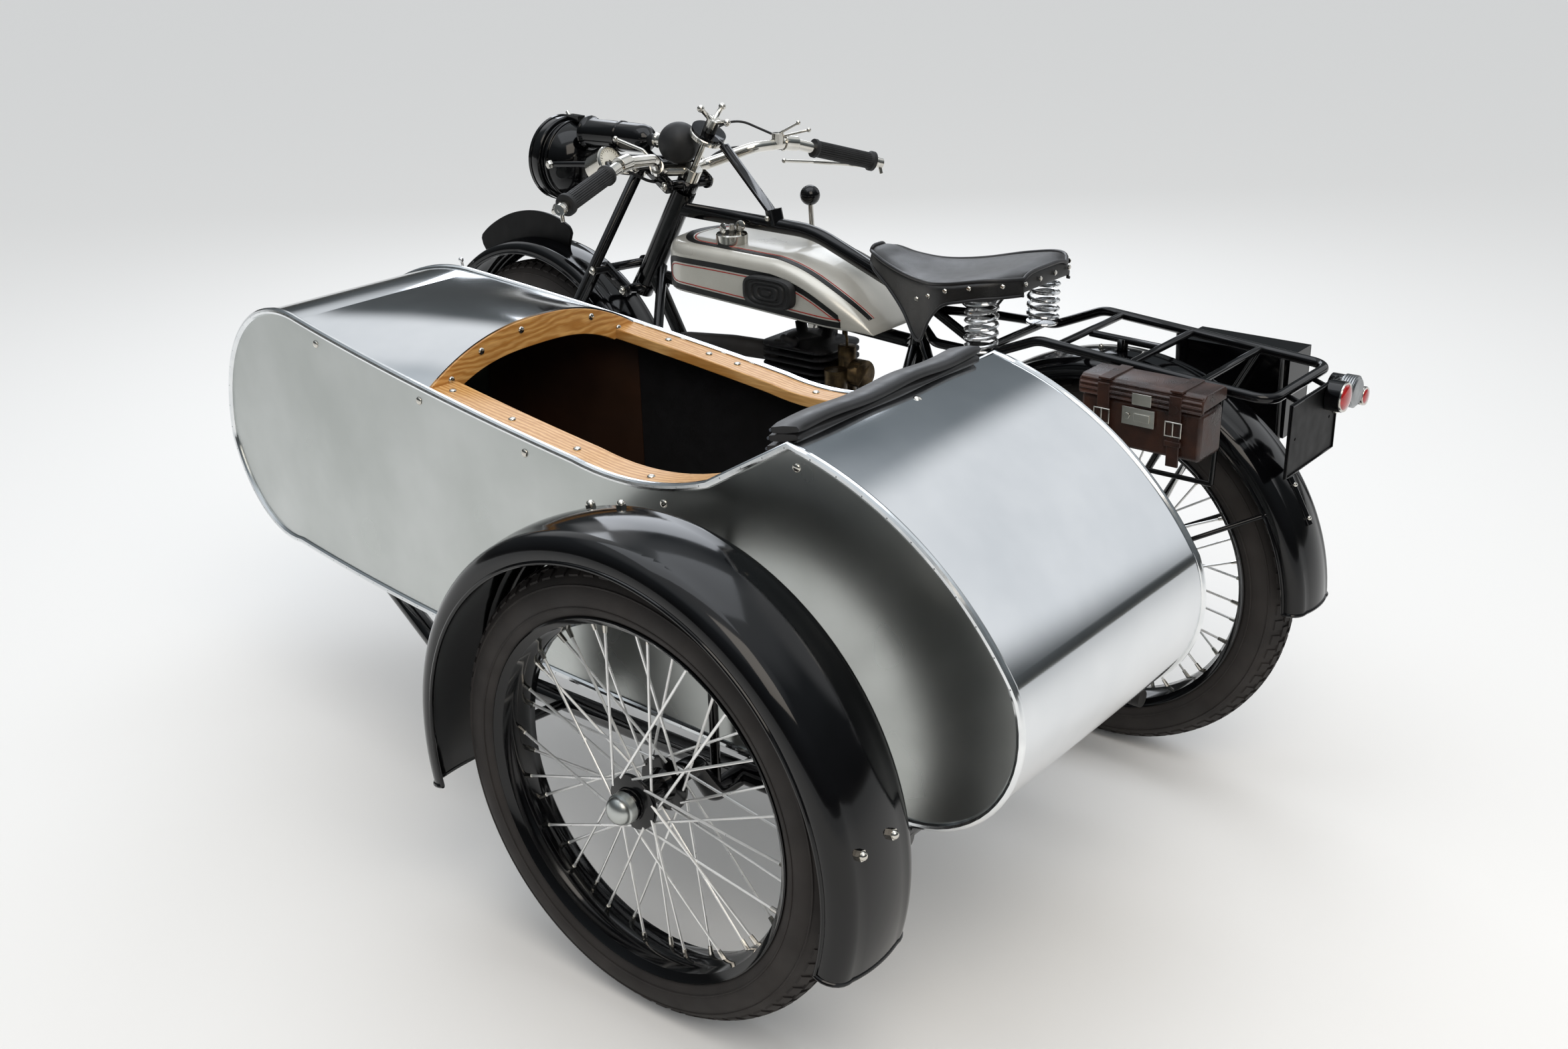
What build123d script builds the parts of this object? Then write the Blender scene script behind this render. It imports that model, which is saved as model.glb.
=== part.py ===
"""Sidecar outfit: a flat-tank single-cylinder motorcycle with a polished sidecar on its left.

Millimetres. +X is forward, +Y is left (the sidecar's side), +Z is up. While it is drawn, the
rear axle is at x = 0, the motorcycle's middle plane at y = 0 and the ground at z = 0. At the
end everything moves together, so that the origin is under the middle of the whole outfit.
"""

import os
from math import cos, radians, sin, sqrt, tan

from build123d import *

# Wheels: three alike, 3.25-19
WHEEL_R = 330.0
TYRE_SEAT_R = 253.5
TYRE_SIDES = 64
RIM_WELL_R = 243.0
RIM_LIP_R = 261.0
SPOKES = 40
SPOKE_R = 1.7
SPOKE_LEAN = 54.0
HUB_R = 24.0
HUB_HALF = 46.0
FLANGE_R = 40.0
FLANGE_Y = 30.0
AXLE_R = 8.0
RUNNING_GAP = 0.05

# Where the wheels stand
WHEELBASE = 1385.0
TRACK = 1041.0
SIDE_LEAD = 116.0
REAR_AXLE = (0.0, 0.0, WHEEL_R)
FRONT_AXLE = (WHEELBASE, 0.0, WHEEL_R)
SIDE_AXLE = (SIDE_LEAD, TRACK, WHEEL_R)

# Steering: the head leans back, and the bars rest turned a little to the right
HEAD_ANGLE = 30.0
HEAD_GROUND_X = 1453.0
REST_TURN = -6.0
STEM_R = 12.5
HEAD_R = 23.0
HEAD_LOW_Z = 668.0
HEAD_HIGH_Z = 862.0
DAMPER_Z = 976.0
WING_REACH = 32.0

# Motorcycle frame
TUBE_R = 14.0
TANK_TUBE_R = 12.7
STAY_R = 9.0
STAY_Y = 74.0
PLATE_Y = 49.0
SEAT_LUG = (400.0, 0.0, 728.0)
BRIDGE_REACH = 378.0

# Petrol tank
TANK_HALF = 106.0
TANK_FLOOR_Z = 696.0
TANK_TOP_Z = 788.0
TANK_ROUND = 18.0

# Saddle
SADDLE_Z = (778.0, 822.0)
SPRING_X = 210.0
SPRING_Y = 100.0

# Luggage carrier
CARRIER_Y = 110.0
CARRIER_R = 8.0
CARRIER_END_X = -306.0

# Mudguards
GUARD_SKIN = 2.5
CROWN_FALL = 5.0
CROWN_SHARE = 0.62
SIDE_GUARD_R = 388.0
SIDE_GUARD_HALF = 75.0
REAR_GUARD_R = 372.0
REAR_GUARD_HALF = 62.0
FRONT_GUARD_R = 378.0
FRONT_GUARD_HALF = 56.0

# Engine and gearbox
CRANK = (640.0, 0.0, 325.0)
GEARBOX = (455.0, 0.0, 325.0)
CYLINDER_X = 650.0
BARREL_FINS = 8
HEAD_FINS = 5
FIN_PITCH = 13.5

# Forks
FORK_Y = 74.0
FORK_END_Y = 80.0

# Sidecar body: its plan is straight at the back and bends in to the nose
BODY_MID_Y = 645.0
BODY_HALF = 240.0
PLAN_BEND_X = 350.0
PLAN_BEND_R = 5330.0
WALL = 12.0
SKIN = 8.0
FLOOR = 12.0
BOW_X = 700.0
BOW_THICK = 20.0
BOW_RISE = 61.0
DECK_END_X = 1055.0
SPLIT_X = 400.0
PEAK = (-8.0, 798.0)
RAIL_DEEP = 18.0
RAIL_WIDE = 48.0
SEAT_HALF = 215.0

# Sidecar chassis
CHASSIS_IN_Y = 330.0
CHASSIS_OUT_Y = 850.0
CHASSIS_Z = 268.0
CHASSIS_R = 16.0
CROSS_X = (-150.0, 116.0, 620.0)

HEAD_DIR = Vector(-sin(radians(HEAD_ANGLE)), 0, cos(radians(HEAD_ANGLE)))
STEER_AXIS = Axis((HEAD_GROUND_X, 0, 0), HEAD_DIR)

nodes = {}


def head_point(z, ahead=0.0, y=0.0):
    """A point beside the steering axis: z is its height on the axis, ahead is square to it."""
    tilt = radians(HEAD_ANGLE)
    x = HEAD_GROUND_X - z * tan(tilt)
    return (x + ahead * cos(tilt), y, z + ahead * sin(tilt))


def turned(shape):
    """The steered pieces are drawn straight ahead, then turned to where the bars rest."""
    return shape.rotate(STEER_AXIS, REST_TURN)


def rod(start, end, radius):
    """A round bar between two points."""
    start, end = Vector(*start), Vector(*end)
    along = end - start
    bar = Cylinder(radius, along.length, align=(Align.CENTER, Align.CENTER, Align.MIN))
    return Plane(origin=start, z_dir=along) * bar


def flat_bar(start, end, wide, thick):
    """A flat bar between two points, its wide side level across the motorcycle."""
    start, end = Vector(*start), Vector(*end)
    along = end - start
    return Plane(origin=start, x_dir=(0, 1, 0), z_dir=along) * extrude(Rectangle(wide, thick), along.length)


def pipe(points, radius, bends):
    """A bent round bar: straight runs joined by tangent arcs."""
    path = FilletPolyline(*points, radius=bends)
    return sweep(Plane(origin=path @ 0, z_dir=path % 0) * Circle(radius), path=path)


def block(x, y, z):
    """A box from three (low, high) pairs."""
    size = [high - low for low, high in (x, y, z)]
    middle = [(high + low) / 2 for low, high in (x, y, z)]
    return Pos(*middle) * Box(*size)


def barrel(centre, radius, length):
    """A cylinder lying across the motorcycle."""
    return Pos(*centre) * Rot(90, 0, 0) * Cylinder(radius, length)


def upright(x, y, low, high, radius):
    """A standing cylinder."""
    return rod((x, y, low), (x, y, high), radius)


def both_sides(shape):
    """The shape and its twin on the other side of the motorcycle's middle plane."""
    return [shape, mirror(shape, about=Plane.XZ)]


def joined(first, *others):
    """One piece from several that touch or run into each other."""
    return first.fuse(*others)


def seated(shape, *others):
    """The shape cut back to the faces of the pieces that it sits on."""
    for other in others:
        shape = shape - other
    return max(shape.solids(), key=lambda solid: solid.volume)


def side_plane(y):
    """A drawing plane across the motorcycle at y: x to the right and z up."""
    return Plane(origin=(0, y, 0), x_dir=(1, 0, 0), z_dir=(0, -1, 0))


def side_plate(outline, y_low, y_high):
    """A plate with straight (x, z) edges, from y_low to y_high."""
    face = make_face(Polyline(*outline, close=True))
    return extrude(side_plane(y_high) * face, y_high - y_low)


def belt(x_z_radius, y_low, y_high):
    """A plate whose outline runs like a belt round its (x, z, radius) circles."""
    edges = []
    for x, z, radius in x_z_radius:
        edges += (Pos(x, z) * Circle(radius)).edges()
    return extrude(side_plane(y_high) * make_hull(edges), y_high - y_low)


def wheel_turn(profile, centre, sweep_deg=360.0, start_deg=0.0):
    """A (radius, width) profile turned about an axle, from start_deg up from straight ahead."""
    axle = Axis((0, 0, 0), (0, -1, 0))
    solid = revolve(profile, axle, sweep_deg)
    return Pos(*centre) * solid.rotate(axle, start_deg)


def around(axle, radius, deg, y=0.0):
    """A point at a radius from an axle, deg up from straight ahead."""
    return (axle[0] + radius * cos(radians(deg)), y, axle[2] + radius * sin(radians(deg)))


def face_of(*curves):
    """A flat face inside curves that close on each other."""
    return make_face([edge for curve in curves for edge in curve.edges()])


# Wheels

def rim_profile():
    """Section of the rim: a well, two shoulders and two rolled lips."""
    half = [(RIM_WELL_R, 14), (250, 31), (RIM_LIP_R - 1, 38), (RIM_LIP_R, 34.5)]
    half += [(TYRE_SEAT_R, 27), (247, 12)]
    points = half + [(radius, -width) for radius, width in reversed(half)]
    return make_face(Polyline(*points, close=True))


def tyre():
    """A tyre that sits between the rim's lips, drawn as flats both round its section and round its tread.

    The radii are those of the flats' middles, and one flat of the tread is level at the ground.
    """
    half = [(TYRE_SEAT_R, 27), (RIM_LIP_R, 34.5), (280, 43.5), (304, 40), (322, 24), (WHEEL_R, 5)]
    section = half + [(radius, -width) for radius, width in reversed(half)]
    step = 360.0 / TYRE_SIDES
    reach = 1 / cos(radians(step / 2))
    ring = [
        [Vector(*around((0, 0, 0), radius * reach, step * (k + 0.5), width)) for radius, width in section]
        for k in range(TYRE_SIDES)
    ]
    flats = []
    for here, there in zip(ring, ring[1:] + ring[:1]):
        for k, corner in enumerate(here):
            after = (k + 1) % len(section)
            flats.append(Face(Wire.make_polygon([corner, here[after], there[after], there[k]])))
    return Solid(Shell(flats))


def spokes():
    """Crossed six-sided spokes from the hub's two flanges to the rim."""
    bars = []
    hub_axis = (0.0, 0.0, 0.0)
    for k in range(SPOKES):
        side = 1 if k % 2 else -1
        turn = k // 2
        hub_deg = 720.0 / SPOKES * turn + 4.5 * side
        rim_deg = hub_deg + (SPOKE_LEAN if turn % 2 else -SPOKE_LEAN)
        foot = around(hub_axis, FLANGE_R - 5, hub_deg, side * FLANGE_Y)
        foot, tip = Vector(*foot), Vector(*around(hub_axis, RIM_WELL_R + 2, rim_deg, side * 6.0))
        wire = extrude(RegularPolygon(SPOKE_R, 6), (tip - foot).length)
        bars.append(Plane(origin=foot, z_dir=tip - foot) * wire)
    return bars


def wire_wheel(half_length, *extras):
    """Rim, spokes and flanged hub as one laced wheel, with what is bolted to the hub."""
    shell = barrel((0, 0, 0), HUB_R, 2 * half_length)
    flanges = [barrel((0, side * FLANGE_Y, 0), FLANGE_R, 5) for side in (-1, 1)]
    hub = joined(shell, *flanges, *extras)
    hub -= barrel((0, 0, 0), AXLE_R + RUNNING_GAP, 2 * half_length + 0.2)
    ring = wheel_turn(rim_profile(), (0, 0, 0))
    return joined(hub, ring, *spokes())


def side_hub_cap():
    """Domed cap on the outer end of the side wheel's hub."""
    return joined(barrel((0, HUB_HALF + 9, 0), 21, 18), Pos(0, HUB_HALF + 16, 0) * Sphere(17))


tyre_shape = tyre()
plain_wheel = wire_wheel(HUB_HALF)
sprocket = joined(barrel((0, 58, 0), 82, 5), barrel((0, 46, 0), 34, 27))
drum = barrel((0, -44, 0), 76, 22)
nodes["front_tyre"] = turned(Pos(*FRONT_AXLE) * tyre_shape)
nodes["rear_tyre"] = Pos(*REAR_AXLE) * tyre_shape
nodes["side_tyre"] = Pos(*SIDE_AXLE) * tyre_shape
nodes["front_wheel"] = turned(Pos(*FRONT_AXLE) * plain_wheel)
nodes["rear_wheel"] = Pos(*REAR_AXLE) * wire_wheel(61, sprocket, drum)
nodes["side_wheel"] = Pos(*SIDE_AXLE) * joined(plain_wheel, side_hub_cap())


# Motorcycle frame

def frame_tubes():
    """Head lug, tubes, stays, engine plates and rear axle as one brazed frame."""
    head = rod(head_point(HEAD_LOW_Z), head_point(HEAD_HIGH_Z), HEAD_R)
    middle = [
        pipe([head_point(824), (640, 0, 819), SEAT_LUG], TUBE_R, 220),
        rod(head_point(684), (424, 0, 648), TANK_TUBE_R),
        rod(head_point(692), (835, 0, 300), TUBE_R),
        rod((396, 0, 740), (430, 0, 425), TUBE_R),
        block((405, 455), (-PLATE_Y, PLATE_Y), (405, 440)),
        block((805, 850), (-PLATE_Y, PLATE_Y), (285, 320)),
        block((745, 832), (-PLATE_Y, PLATE_Y), (396, 405)),
        upright(440, 0, 735, SADDLE_Z[0], 9),
        barrel(around(REAR_AXLE, BRIDGE_REACH, 43.2), 7, 2 * STAY_Y),
    ]
    rear_plate = [(545, 235), (560, 405), (430, 440), (385, 345), (385, 285), (420, 235)]
    front_plate = [(855, 325), (830, 270), (735, 240), (738, 405), (832, 405)]
    pairs = [
        pipe([(402, 18, 716), (330, STAY_Y, 640), (0, STAY_Y, WHEEL_R)], STAY_R, 60),
        pipe([(400, 44, 300), (335, STAY_Y, 305), (0, STAY_Y, WHEEL_R)], STAY_R, 40),
        barrel((0, STAY_Y, WHEEL_R), 22, 10),
        side_plate(rear_plate, PLATE_Y, PLATE_Y + 5),
        side_plate(front_plate, PLATE_Y, PLATE_Y + 5),
    ]
    twins = [twin for piece in pairs for twin in both_sides(piece)]
    body = joined(head, *middle, *twins, barrel(REAR_AXLE, AXLE_R, 176))
    return body - rod(head_point(HEAD_LOW_Z - 30), head_point(HEAD_HIGH_Z + 30), STEM_R + RUNNING_GAP)


def petrol_tank():
    """Flat tank: rounded front, level top and a rear that sweeps down to a point."""
    back_top, tail = (660, TANK_TOP_Z - 4), (446, 672)
    line = Polyline(tail, (940, TANK_FLOOR_Z), (948, 745), (925, TANK_TOP_Z), back_top)
    side = face_of(line, ThreePointArc(back_top, (535, 744), tail))
    slab = extrude(side_plane(TANK_HALF) * side, 2 * TANK_HALF)
    left, right = (870, TANK_HALF), (870, -TANK_HALF)
    flanks = Polyline(right, (560, -TANK_HALF), (440, -78), (440, 78), (560, TANK_HALF), left)
    plan = face_of(ThreePointArc(left, (950, 0), right), flanks)
    tank = slab & (Pos(0, 0, 600) * extrude(plan, 250))
    high = [edge for edge in tank.edges() if edge.center().Z > TANK_FLOOR_Z + 4 and edge.length > 40]
    return fillet([edge for edge in high if abs(edge.center().Y) > 50], TANK_ROUND)


def saddle():
    """Sprung seat, broad at the back and narrow at the nose, with a skirt hanging on each side."""
    back = [edge for y in (-78, 78) for edge in (Pos(238, y) * Circle(72)).edges()]
    plan = make_hull([*back, *(Pos(452, 0) * Circle(42)).edges()])
    seat = Pos(0, 0, SADDLE_Z[0]) * extrude(plan, SADDLE_Z[1] - SADDLE_Z[0])
    flank = Plane(origin=(476, 27, 0), x_dir=(-0.889, 0.458, 0), z_dir=(0.458, 0.889, 0))
    skirt = [(0, 800), (6, 782), (60, 750), (165, 704), (205, 706), (232, 740), (250, 778), (250, 800)]
    return joined(seat, *both_sides(extrude(flank * make_face(Polyline(*skirt, close=True)), 7)))


def coil_spring(y, low, high, turns, coil_r, wire_r):
    """An upright coil of half turns that rise evenly, on its guide rod between two cups."""
    rise = (high - low) / turns / 2
    edges = []
    for k in range(2 * turns):
        side = 1 if k % 2 else -1
        start = (SPRING_X - side * coil_r, y, low + k * rise)
        middle = (SPRING_X, y - side * coil_r, low + (k + 0.5) * rise)
        end = (SPRING_X + side * coil_r, y, low + (k + 1) * rise)
        edges += ThreePointArc(start, middle, end).edges()
    path = Wire(edges)
    coil = sweep(Plane(origin=path @ 0, z_dir=path % 0) * RegularPolygon(wire_r, 6), path=path)
    cups = [upright(SPRING_X, y, z, z + 4, coil_r + 4) for z in (low - 4, high)]
    return joined(coil, *cups, upright(SPRING_X, y, low - 2, high + 2, 7))


def carrier():
    """Bent rails, cross bars, the stays to the rear axle and a hanging frame on each side."""
    shape = [(392, 26, 706), (300, CARRIER_Y - 6, 690), (190, CARRIER_Y, 690)]
    shape += [(95, CARRIER_Y, 730), (CARRIER_END_X, CARRIER_Y, 702), (CARRIER_END_X, 0, 702)]
    hang = CARRIER_Y + 12
    pairs = [
        pipe(shape, CARRIER_R, [40, 60, 60, 28]),
        rod((-190, CARRIER_Y, 710), (-4, STAY_Y + 14, 340), 6),
        rod((-45, CARRIER_Y, 716), (-45, hang, 556), 4),
        rod((-228, CARRIER_Y, 706), (-228, hang, 556), 4),
        rod((-45, hang, 556), (-228, hang, 556), 4),
    ]
    twins = [twin for piece in pairs for twin in both_sides(piece)]
    bars = [(60, 727, 6), (-70, 718.5, 6), (-190, 710, 6), (SPRING_X, 690, 7)]
    across = [barrel((x, 0, z), radius, 2 * CARRIER_Y) for x, z, radius in bars]
    middle = [upright(0, 0, 700, 722, 9), rod((60, 0, 722), (-70, 0, 718.5), 6)]
    return joined(twins[0], *twins[1:], *across, *middle)


frame = frame_tubes()
nodes["frame_tubes"] = frame
nodes["petrol_tank"] = petrol_tank()
nodes["filler_cap"] = upright(800, 45, TANK_TOP_Z - 2, 799, 26) - nodes["petrol_tank"]
pad = extrude(side_plane(TANK_HALF + 16) * Pos(658, 727) * RectangleRounded(116, 57, 22), 16)
nodes["knee_pads"] = pad + mirror(pad, about=Plane.XZ)
nodes["saddle"] = saddle() - frame
nodes["carrier"] = seated(carrier(), frame)
coils = [coil_spring(y, 699.0, 774.0, 5, 24.0, 3.0) for y in (-SPRING_Y, SPRING_Y)]
nodes["saddle_springs"] = coils[0] + coils[1] - nodes["carrier"] - frame
nodes["leather_case"] = block((-240, -35), (CARRIER_Y + 17, 206), (560, 722))
box_outer = block((-235, -40), (-206, -CARRIER_Y - 17), (560, 700))
nodes["toolbox"] = box_outer - block((-229, -46), (-210, -CARRIER_Y - 21), (566, 694))
nodes["toolbox_door"] = block((-235, -40), (-211, -206.5), (560, 700))


# Mudguards

def guard_skin(top_r, edge, low_r):
    """Curves of one face of a guard's section: a flattish crown and two turned-down flanks."""
    bend = (top_r - CROWN_FALL, edge * CROWN_SHARE)
    crown = ThreePointArc((bend[0], -bend[1]), (top_r, 0), bend)
    flanks = []
    for side in (-1, 1):
        middle = (top_r - (top_r - low_r) * 0.38, side * edge * 0.93)
        flanks.append(ThreePointArc((bend[0], side * bend[1]), middle, (low_r, side * edge)))
    return [crown, *flanks]


def guard(centre, crown_r, half, drop, start_deg, end_deg):
    """A mudguard about a wheel, from start_deg to end_deg up from straight ahead."""
    edge, low_r = half - GUARD_SKIN, crown_r - drop
    skins = guard_skin(crown_r, half, low_r) + guard_skin(crown_r - GUARD_SKIN, edge, low_r)
    hems = [Line((low_r, side * half), (low_r, side * edge)) for side in (-1, 1)]
    return wheel_turn(face_of(*skins, *hems), centre, end_deg - start_deg, start_deg)


def rear_guard():
    """Rear mudguard with a stay to the axle on each side."""
    shell = guard(REAR_AXLE, REAR_GUARD_R, REAR_GUARD_HALF, 34, 40, 178)
    stay = rod((-6, STAY_Y + 12, 334), around(REAR_AXLE, 343, 150, 60), 4)
    return joined(shell, *both_sides(stay))


def front_guard():
    """Front mudguard with two stays on each side and the number plate that stands on it."""
    shell = guard(FRONT_AXLE, FRONT_GUARD_R, FRONT_GUARD_HALF, 28, 5, 165)
    stays = []
    for deg in (22, 152):
        stays += both_sides(rod((WHEELBASE, 92, WHEEL_R), around(FRONT_AXLE, 353, deg, 54), 4))
    number = [(1566, 739), (1520, 775), (1415, 783), (1320, 768), (1286, 737), (1340, 690)]
    number += [(1415, 700), (1500, 680), (1562, 655)]
    return joined(shell, *stays, side_plate(number, -2, 2))


def side_guard():
    """Side mudguard with three stays from the chassis."""
    shell = guard(SIDE_AXLE, SIDE_GUARD_R, SIDE_GUARD_HALF, 40, -13, 196)
    edge_y, reach = TRACK - SIDE_GUARD_HALF + 4, SIDE_GUARD_R - 34
    top = [(SIDE_LEAD, 908, CHASSIS_Z), (SIDE_LEAD, 908, 640), around(SIDE_AXLE, reach + 12, 90, edge_y + 6)]
    back = rod((CROSS_X[0], CHASSIS_OUT_Y, CHASSIS_Z), around(SIDE_AXLE, reach, 188, edge_y), 8)
    front = rod((470, CHASSIS_OUT_Y, CHASSIS_Z), around(SIDE_AXLE, reach, -8, edge_y), 8)
    return joined(shell, pipe(top, 7, 40), back, front)


# Engine and transmission

def fin_heights(low, count):
    """Heights of evenly spaced fins from low up."""
    return [low + FIN_PITCH * k for k in range(count)]


def crankcase():
    """Round case halves with the timing chest and magneto drive on the right."""
    chest = [barrel((CYLINDER_X, -67, 345), 82, 40), belt([(705, 385, 45), (788, 462, 28)], -87, -47)]
    cap_table = ((650, 345, 30), (705, 385, 18), (788, 462, 14))
    caps = [barrel((x, -90, z), radius, 8) for x, z, radius in cap_table]
    sump = block((560, 745), (-48, 48), (240, 330))
    return joined(barrel(CRANK, 112, 2 * PLATE_Y), *chest, *caps, sump)


def finned_cylinder():
    """Finned barrel, finned head, and the open valve gear on it: springs, rockers and push rods."""
    barrel_fins = [upright(CYLINDER_X, 0, z, z + 3.5, 68) for z in fin_heights(440, BARREL_FINS)]
    plate = extrude(RectangleRounded(158, 132, 30), 4)
    head_fins = [Pos(CYLINDER_X, 0, z) * plate for z in fin_heights(553, HEAD_FINS)]
    valve_gear = [block((CYLINDER_X - 16, CYLINDER_X + 16), (-62, -46), (600, 640))]
    for side in (-1, 1):
        valve = (CYLINDER_X + side * 34, -12, 642)
        push = (CYLINDER_X + side * 12, -92, 642)
        valve_gear.append(rod((CYLINDER_X + side * 27, -10, 615), valve, 11))
        valve_gear.append(rod(valve, push, 5))
        valve_gear.append(rod(push, (CYLINDER_X + side * 12, -80, 400), 5.5))
    plug = [rod((CYLINDER_X, 40, 612), (CYLINDER_X, 84, 636), 7)]
    plug.append(rod((CYLINDER_X, 52, 618.5), (CYLINDER_X, 60, 623), 12))
    return joined(upright(CYLINDER_X, 0, 425, 622, 46), *barrel_fins, *head_fins, *valve_gear, *plug)


def carburettor():
    """Body, intake pipe and bell mouth facing back."""
    intake = rod((612, 10, 575), (520, 30, 578), 16)
    float_bowl = [upright(542, 66, 545, 590, 21), rod((546, 26, 556), (542, 60, 556), 6)]
    cable = pipe([(546, 26, 618), (546, 26, 660), (905, 26, 682)], 2.5, 28)
    mouth = rod((523, 30, 578), (500, 33, 579), 26)
    return joined(upright(546, 26, 540, 624, 17), intake, mouth, *float_bowl, cable)


def exhaust():
    """Bent pipe, silencer and tail pipe low on the left, with a strap to the chain stay."""
    route = [(680, 24, 586), (762, 62, 580), (800, 100, 330), (720, 128, 180), (330, 128, 165)]
    strap = rod((180, 122, 195), (180, STAY_Y + 4, 318), 6)
    silencer = rod((350, 128, 165.5), (-10, 128, 158), 37)
    tail = rod((-5, 128, 158), (-140, 128, 155), 15)
    return joined(pipe(route, 18, [40, 70, 70]), silencer, tail, strap)


def footrests():
    """Cross rod with a rubber at each end, hung from the engine plates."""
    rubbers = [rod((470, y, 232), (470, y + 90, 232), 16) for y in (-255, 135)]
    hanger = block((455, 485), (-PLATE_Y - 5, PLATE_Y + 5), (215, 240))
    return joined(rod((470, -255, 232), (470, 225, 232), 8), *rubbers, hanger)


def gear_lever():
    """Hand lever with a ball, its quadrant beside the tank and the rod down to the gearbox."""
    lever = rod((735, -126, 640), (752, -134, 840), 5)
    quadrant = block((715, 755), (-130, -124), (560, 690))
    links = [rod((735, -127, 570), (600, -112, 470), 5), rod((600, -112, 470), (470, -56, 355), 5)]
    bracket = rod((735, -126, 640), (735, -4, 664), 5)
    return joined(lever, Pos(753, -134.5, 851) * Sphere(19), quadrant, bracket, *links)


def damper_strut():
    """Fixed friction plate over the head, held by an arm that is clamped to the top tube."""
    arm = flat_bar((734, 0, 840), head_point(DAMPER_Z + 2, -42), 22, 6)
    clamp = rod((728, 0, 822), (735, 0, 850), 16)
    tab = rod(head_point(DAMPER_Z + 2, -48), head_point(DAMPER_Z + 2, -25), 3)
    plate = rod(head_point(DAMPER_Z), head_point(DAMPER_Z + 4.5), 34)
    return joined(clamp, arm, tab, plate) - rod(head_point(DAMPER_Z - 9), head_point(DAMPER_Z + 9), 10)


nodes["crankcase"] = seated(crankcase(), frame)
nodes["carburettor"] = carburettor()
nodes["cylinder"] = seated(finned_cylinder(), nodes["crankcase"], frame, nodes["carburettor"])
magneto = joined(block((752, 824), (-40, 40), (405, 470)), barrel((788, 0, 470), 34, 80))
nodes["magneto"] = seated(magneto, frame, nodes["crankcase"])
nodes["gearbox"] = seated(barrel(GEARBOX, 58, 2 * PLATE_Y), frame, nodes["crankcase"])
case_plate = belt([(GEARBOX[0], GEARBOX[2], 82), (CRANK[0], CRANK[2], 60)], 68, 92)
shafts = [barrel((x, 61, z), 16, 14.2) for x, _, z in (CRANK, GEARBOX)]
nodes["primary_chaincase"] = seated(joined(case_plate, *shafts), frame)
chain_loop = belt([(GEARBOX[0], GEARBOX[2], 44), (0, WHEEL_R, 99)], 55, 63)
nodes["drive_chain"] = chain_loop - belt([(GEARBOX[0], GEARBOX[2], 33), (0, WHEEL_R, 88)], 50, 70)
nodes["exhaust"] = seated(exhaust(), nodes["cylinder"], nodes["crankcase"], frame)
nodes["footrests"] = seated(footrests(), frame)
nodes["gear_lever"] = seated(gear_lever(), frame)
nodes["damper_strut"] = seated(damper_strut(), frame)


# Forks, bars and what they carry

def forks():
    """Girder blades with their rear legs and braces, link plates, steering stem and front axle."""
    stem = rod(head_point(HEAD_LOW_Z - 24), head_point(HEAD_HIGH_Z + 14), STEM_R)
    low_yoke = rod(head_point(HEAD_LOW_Z - 24), head_point(HEAD_LOW_Z - 4), 20)
    high_yoke = rod(head_point(HEAD_HIGH_Z + 4), head_point(HEAD_HIGH_Z + 22), 22)
    low, high = head_point(HEAD_LOW_Z - 14, 68), head_point(HEAD_HIGH_Z + 13, 62)
    spindles = [barrel(spot, 9, 2 * FORK_Y + 16) for spot in (low, high)]
    pairs = [
        rod((high[0], FORK_Y, high[2]), (WHEELBASE, FORK_END_Y, WHEEL_R), 11),
        rod((low[0], FORK_Y, low[2]), (WHEELBASE - 26, FORK_END_Y, WHEEL_R + 24), 8.5),
        rod((1236, FORK_Y + 2, 604), (1196, FORK_Y + 2, 570), 6),
        rod((1308, FORK_Y + 4, 472), (1268, FORK_Y + 4, 452), 6),
        belt([(WHEELBASE, WHEEL_R, 17), (WHEELBASE - 26, WHEEL_R + 24, 11)], FORK_END_Y - 4, FORK_END_Y + 4),
    ]
    for stem_spot, spindle in ((head_point(HEAD_LOW_Z - 14), low), (head_point(HEAD_HIGH_Z + 13), high)):
        ends = [(stem_spot[0], stem_spot[2], 14), (spindle[0], spindle[2], 14)]
        pairs.append(belt(ends, FORK_Y - 26, FORK_Y - 19))
        spindles.append(barrel(stem_spot, 10, 2 * FORK_Y - 36))
    twins = [twin for piece in pairs for twin in both_sides(piece)]
    axle = barrel(FRONT_AXLE, AXLE_R, 196)
    return joined(stem, low_yoke, high_yoke, *spindles, *twins, axle)


def handlebar():
    """Bent bar with its post, levers and control cables, and the damper's rod."""
    shape = [head_point(HEAD_HIGH_Z + 36, 8), (965, 60, 903), (897, 130, 938), (885, 215, 941)]
    pairs = [
        pipe([*shape, (823, 405, 892)], 11, [30, 40, 40]),
        rod((887, 214, 941), (878, 240, 936), 15),
        rod((884, 226, 938), (915, 230, 932), 7),
        flat_bar((914, 224, 932), (893, 300, 905), 11, 5),
        flat_bar((893, 300, 905), (872, 392, 872), 11, 5),
        pipe([(912, 222, 932), (1010, 150, 925), (990, 60, 880), (950, 14, 876)], 3, [60, 40]),
    ]
    twins = [twin for piece in pairs for twin in both_sides(piece)]
    post = rod(head_point(HEAD_HIGH_Z + 22), head_point(HEAD_HIGH_Z + 46), 18)
    air_lever = [rod((887, -186, 941), (887, -186, 958), 11), rod((887, -186, 956), (872, -224, 982), 3.5)]
    damper_rod = rod(head_point(HEAD_HIGH_Z + 46), head_point(DAMPER_Z - 4), 6)
    return joined(post, *twins, *air_lever, damper_rod)


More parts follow.
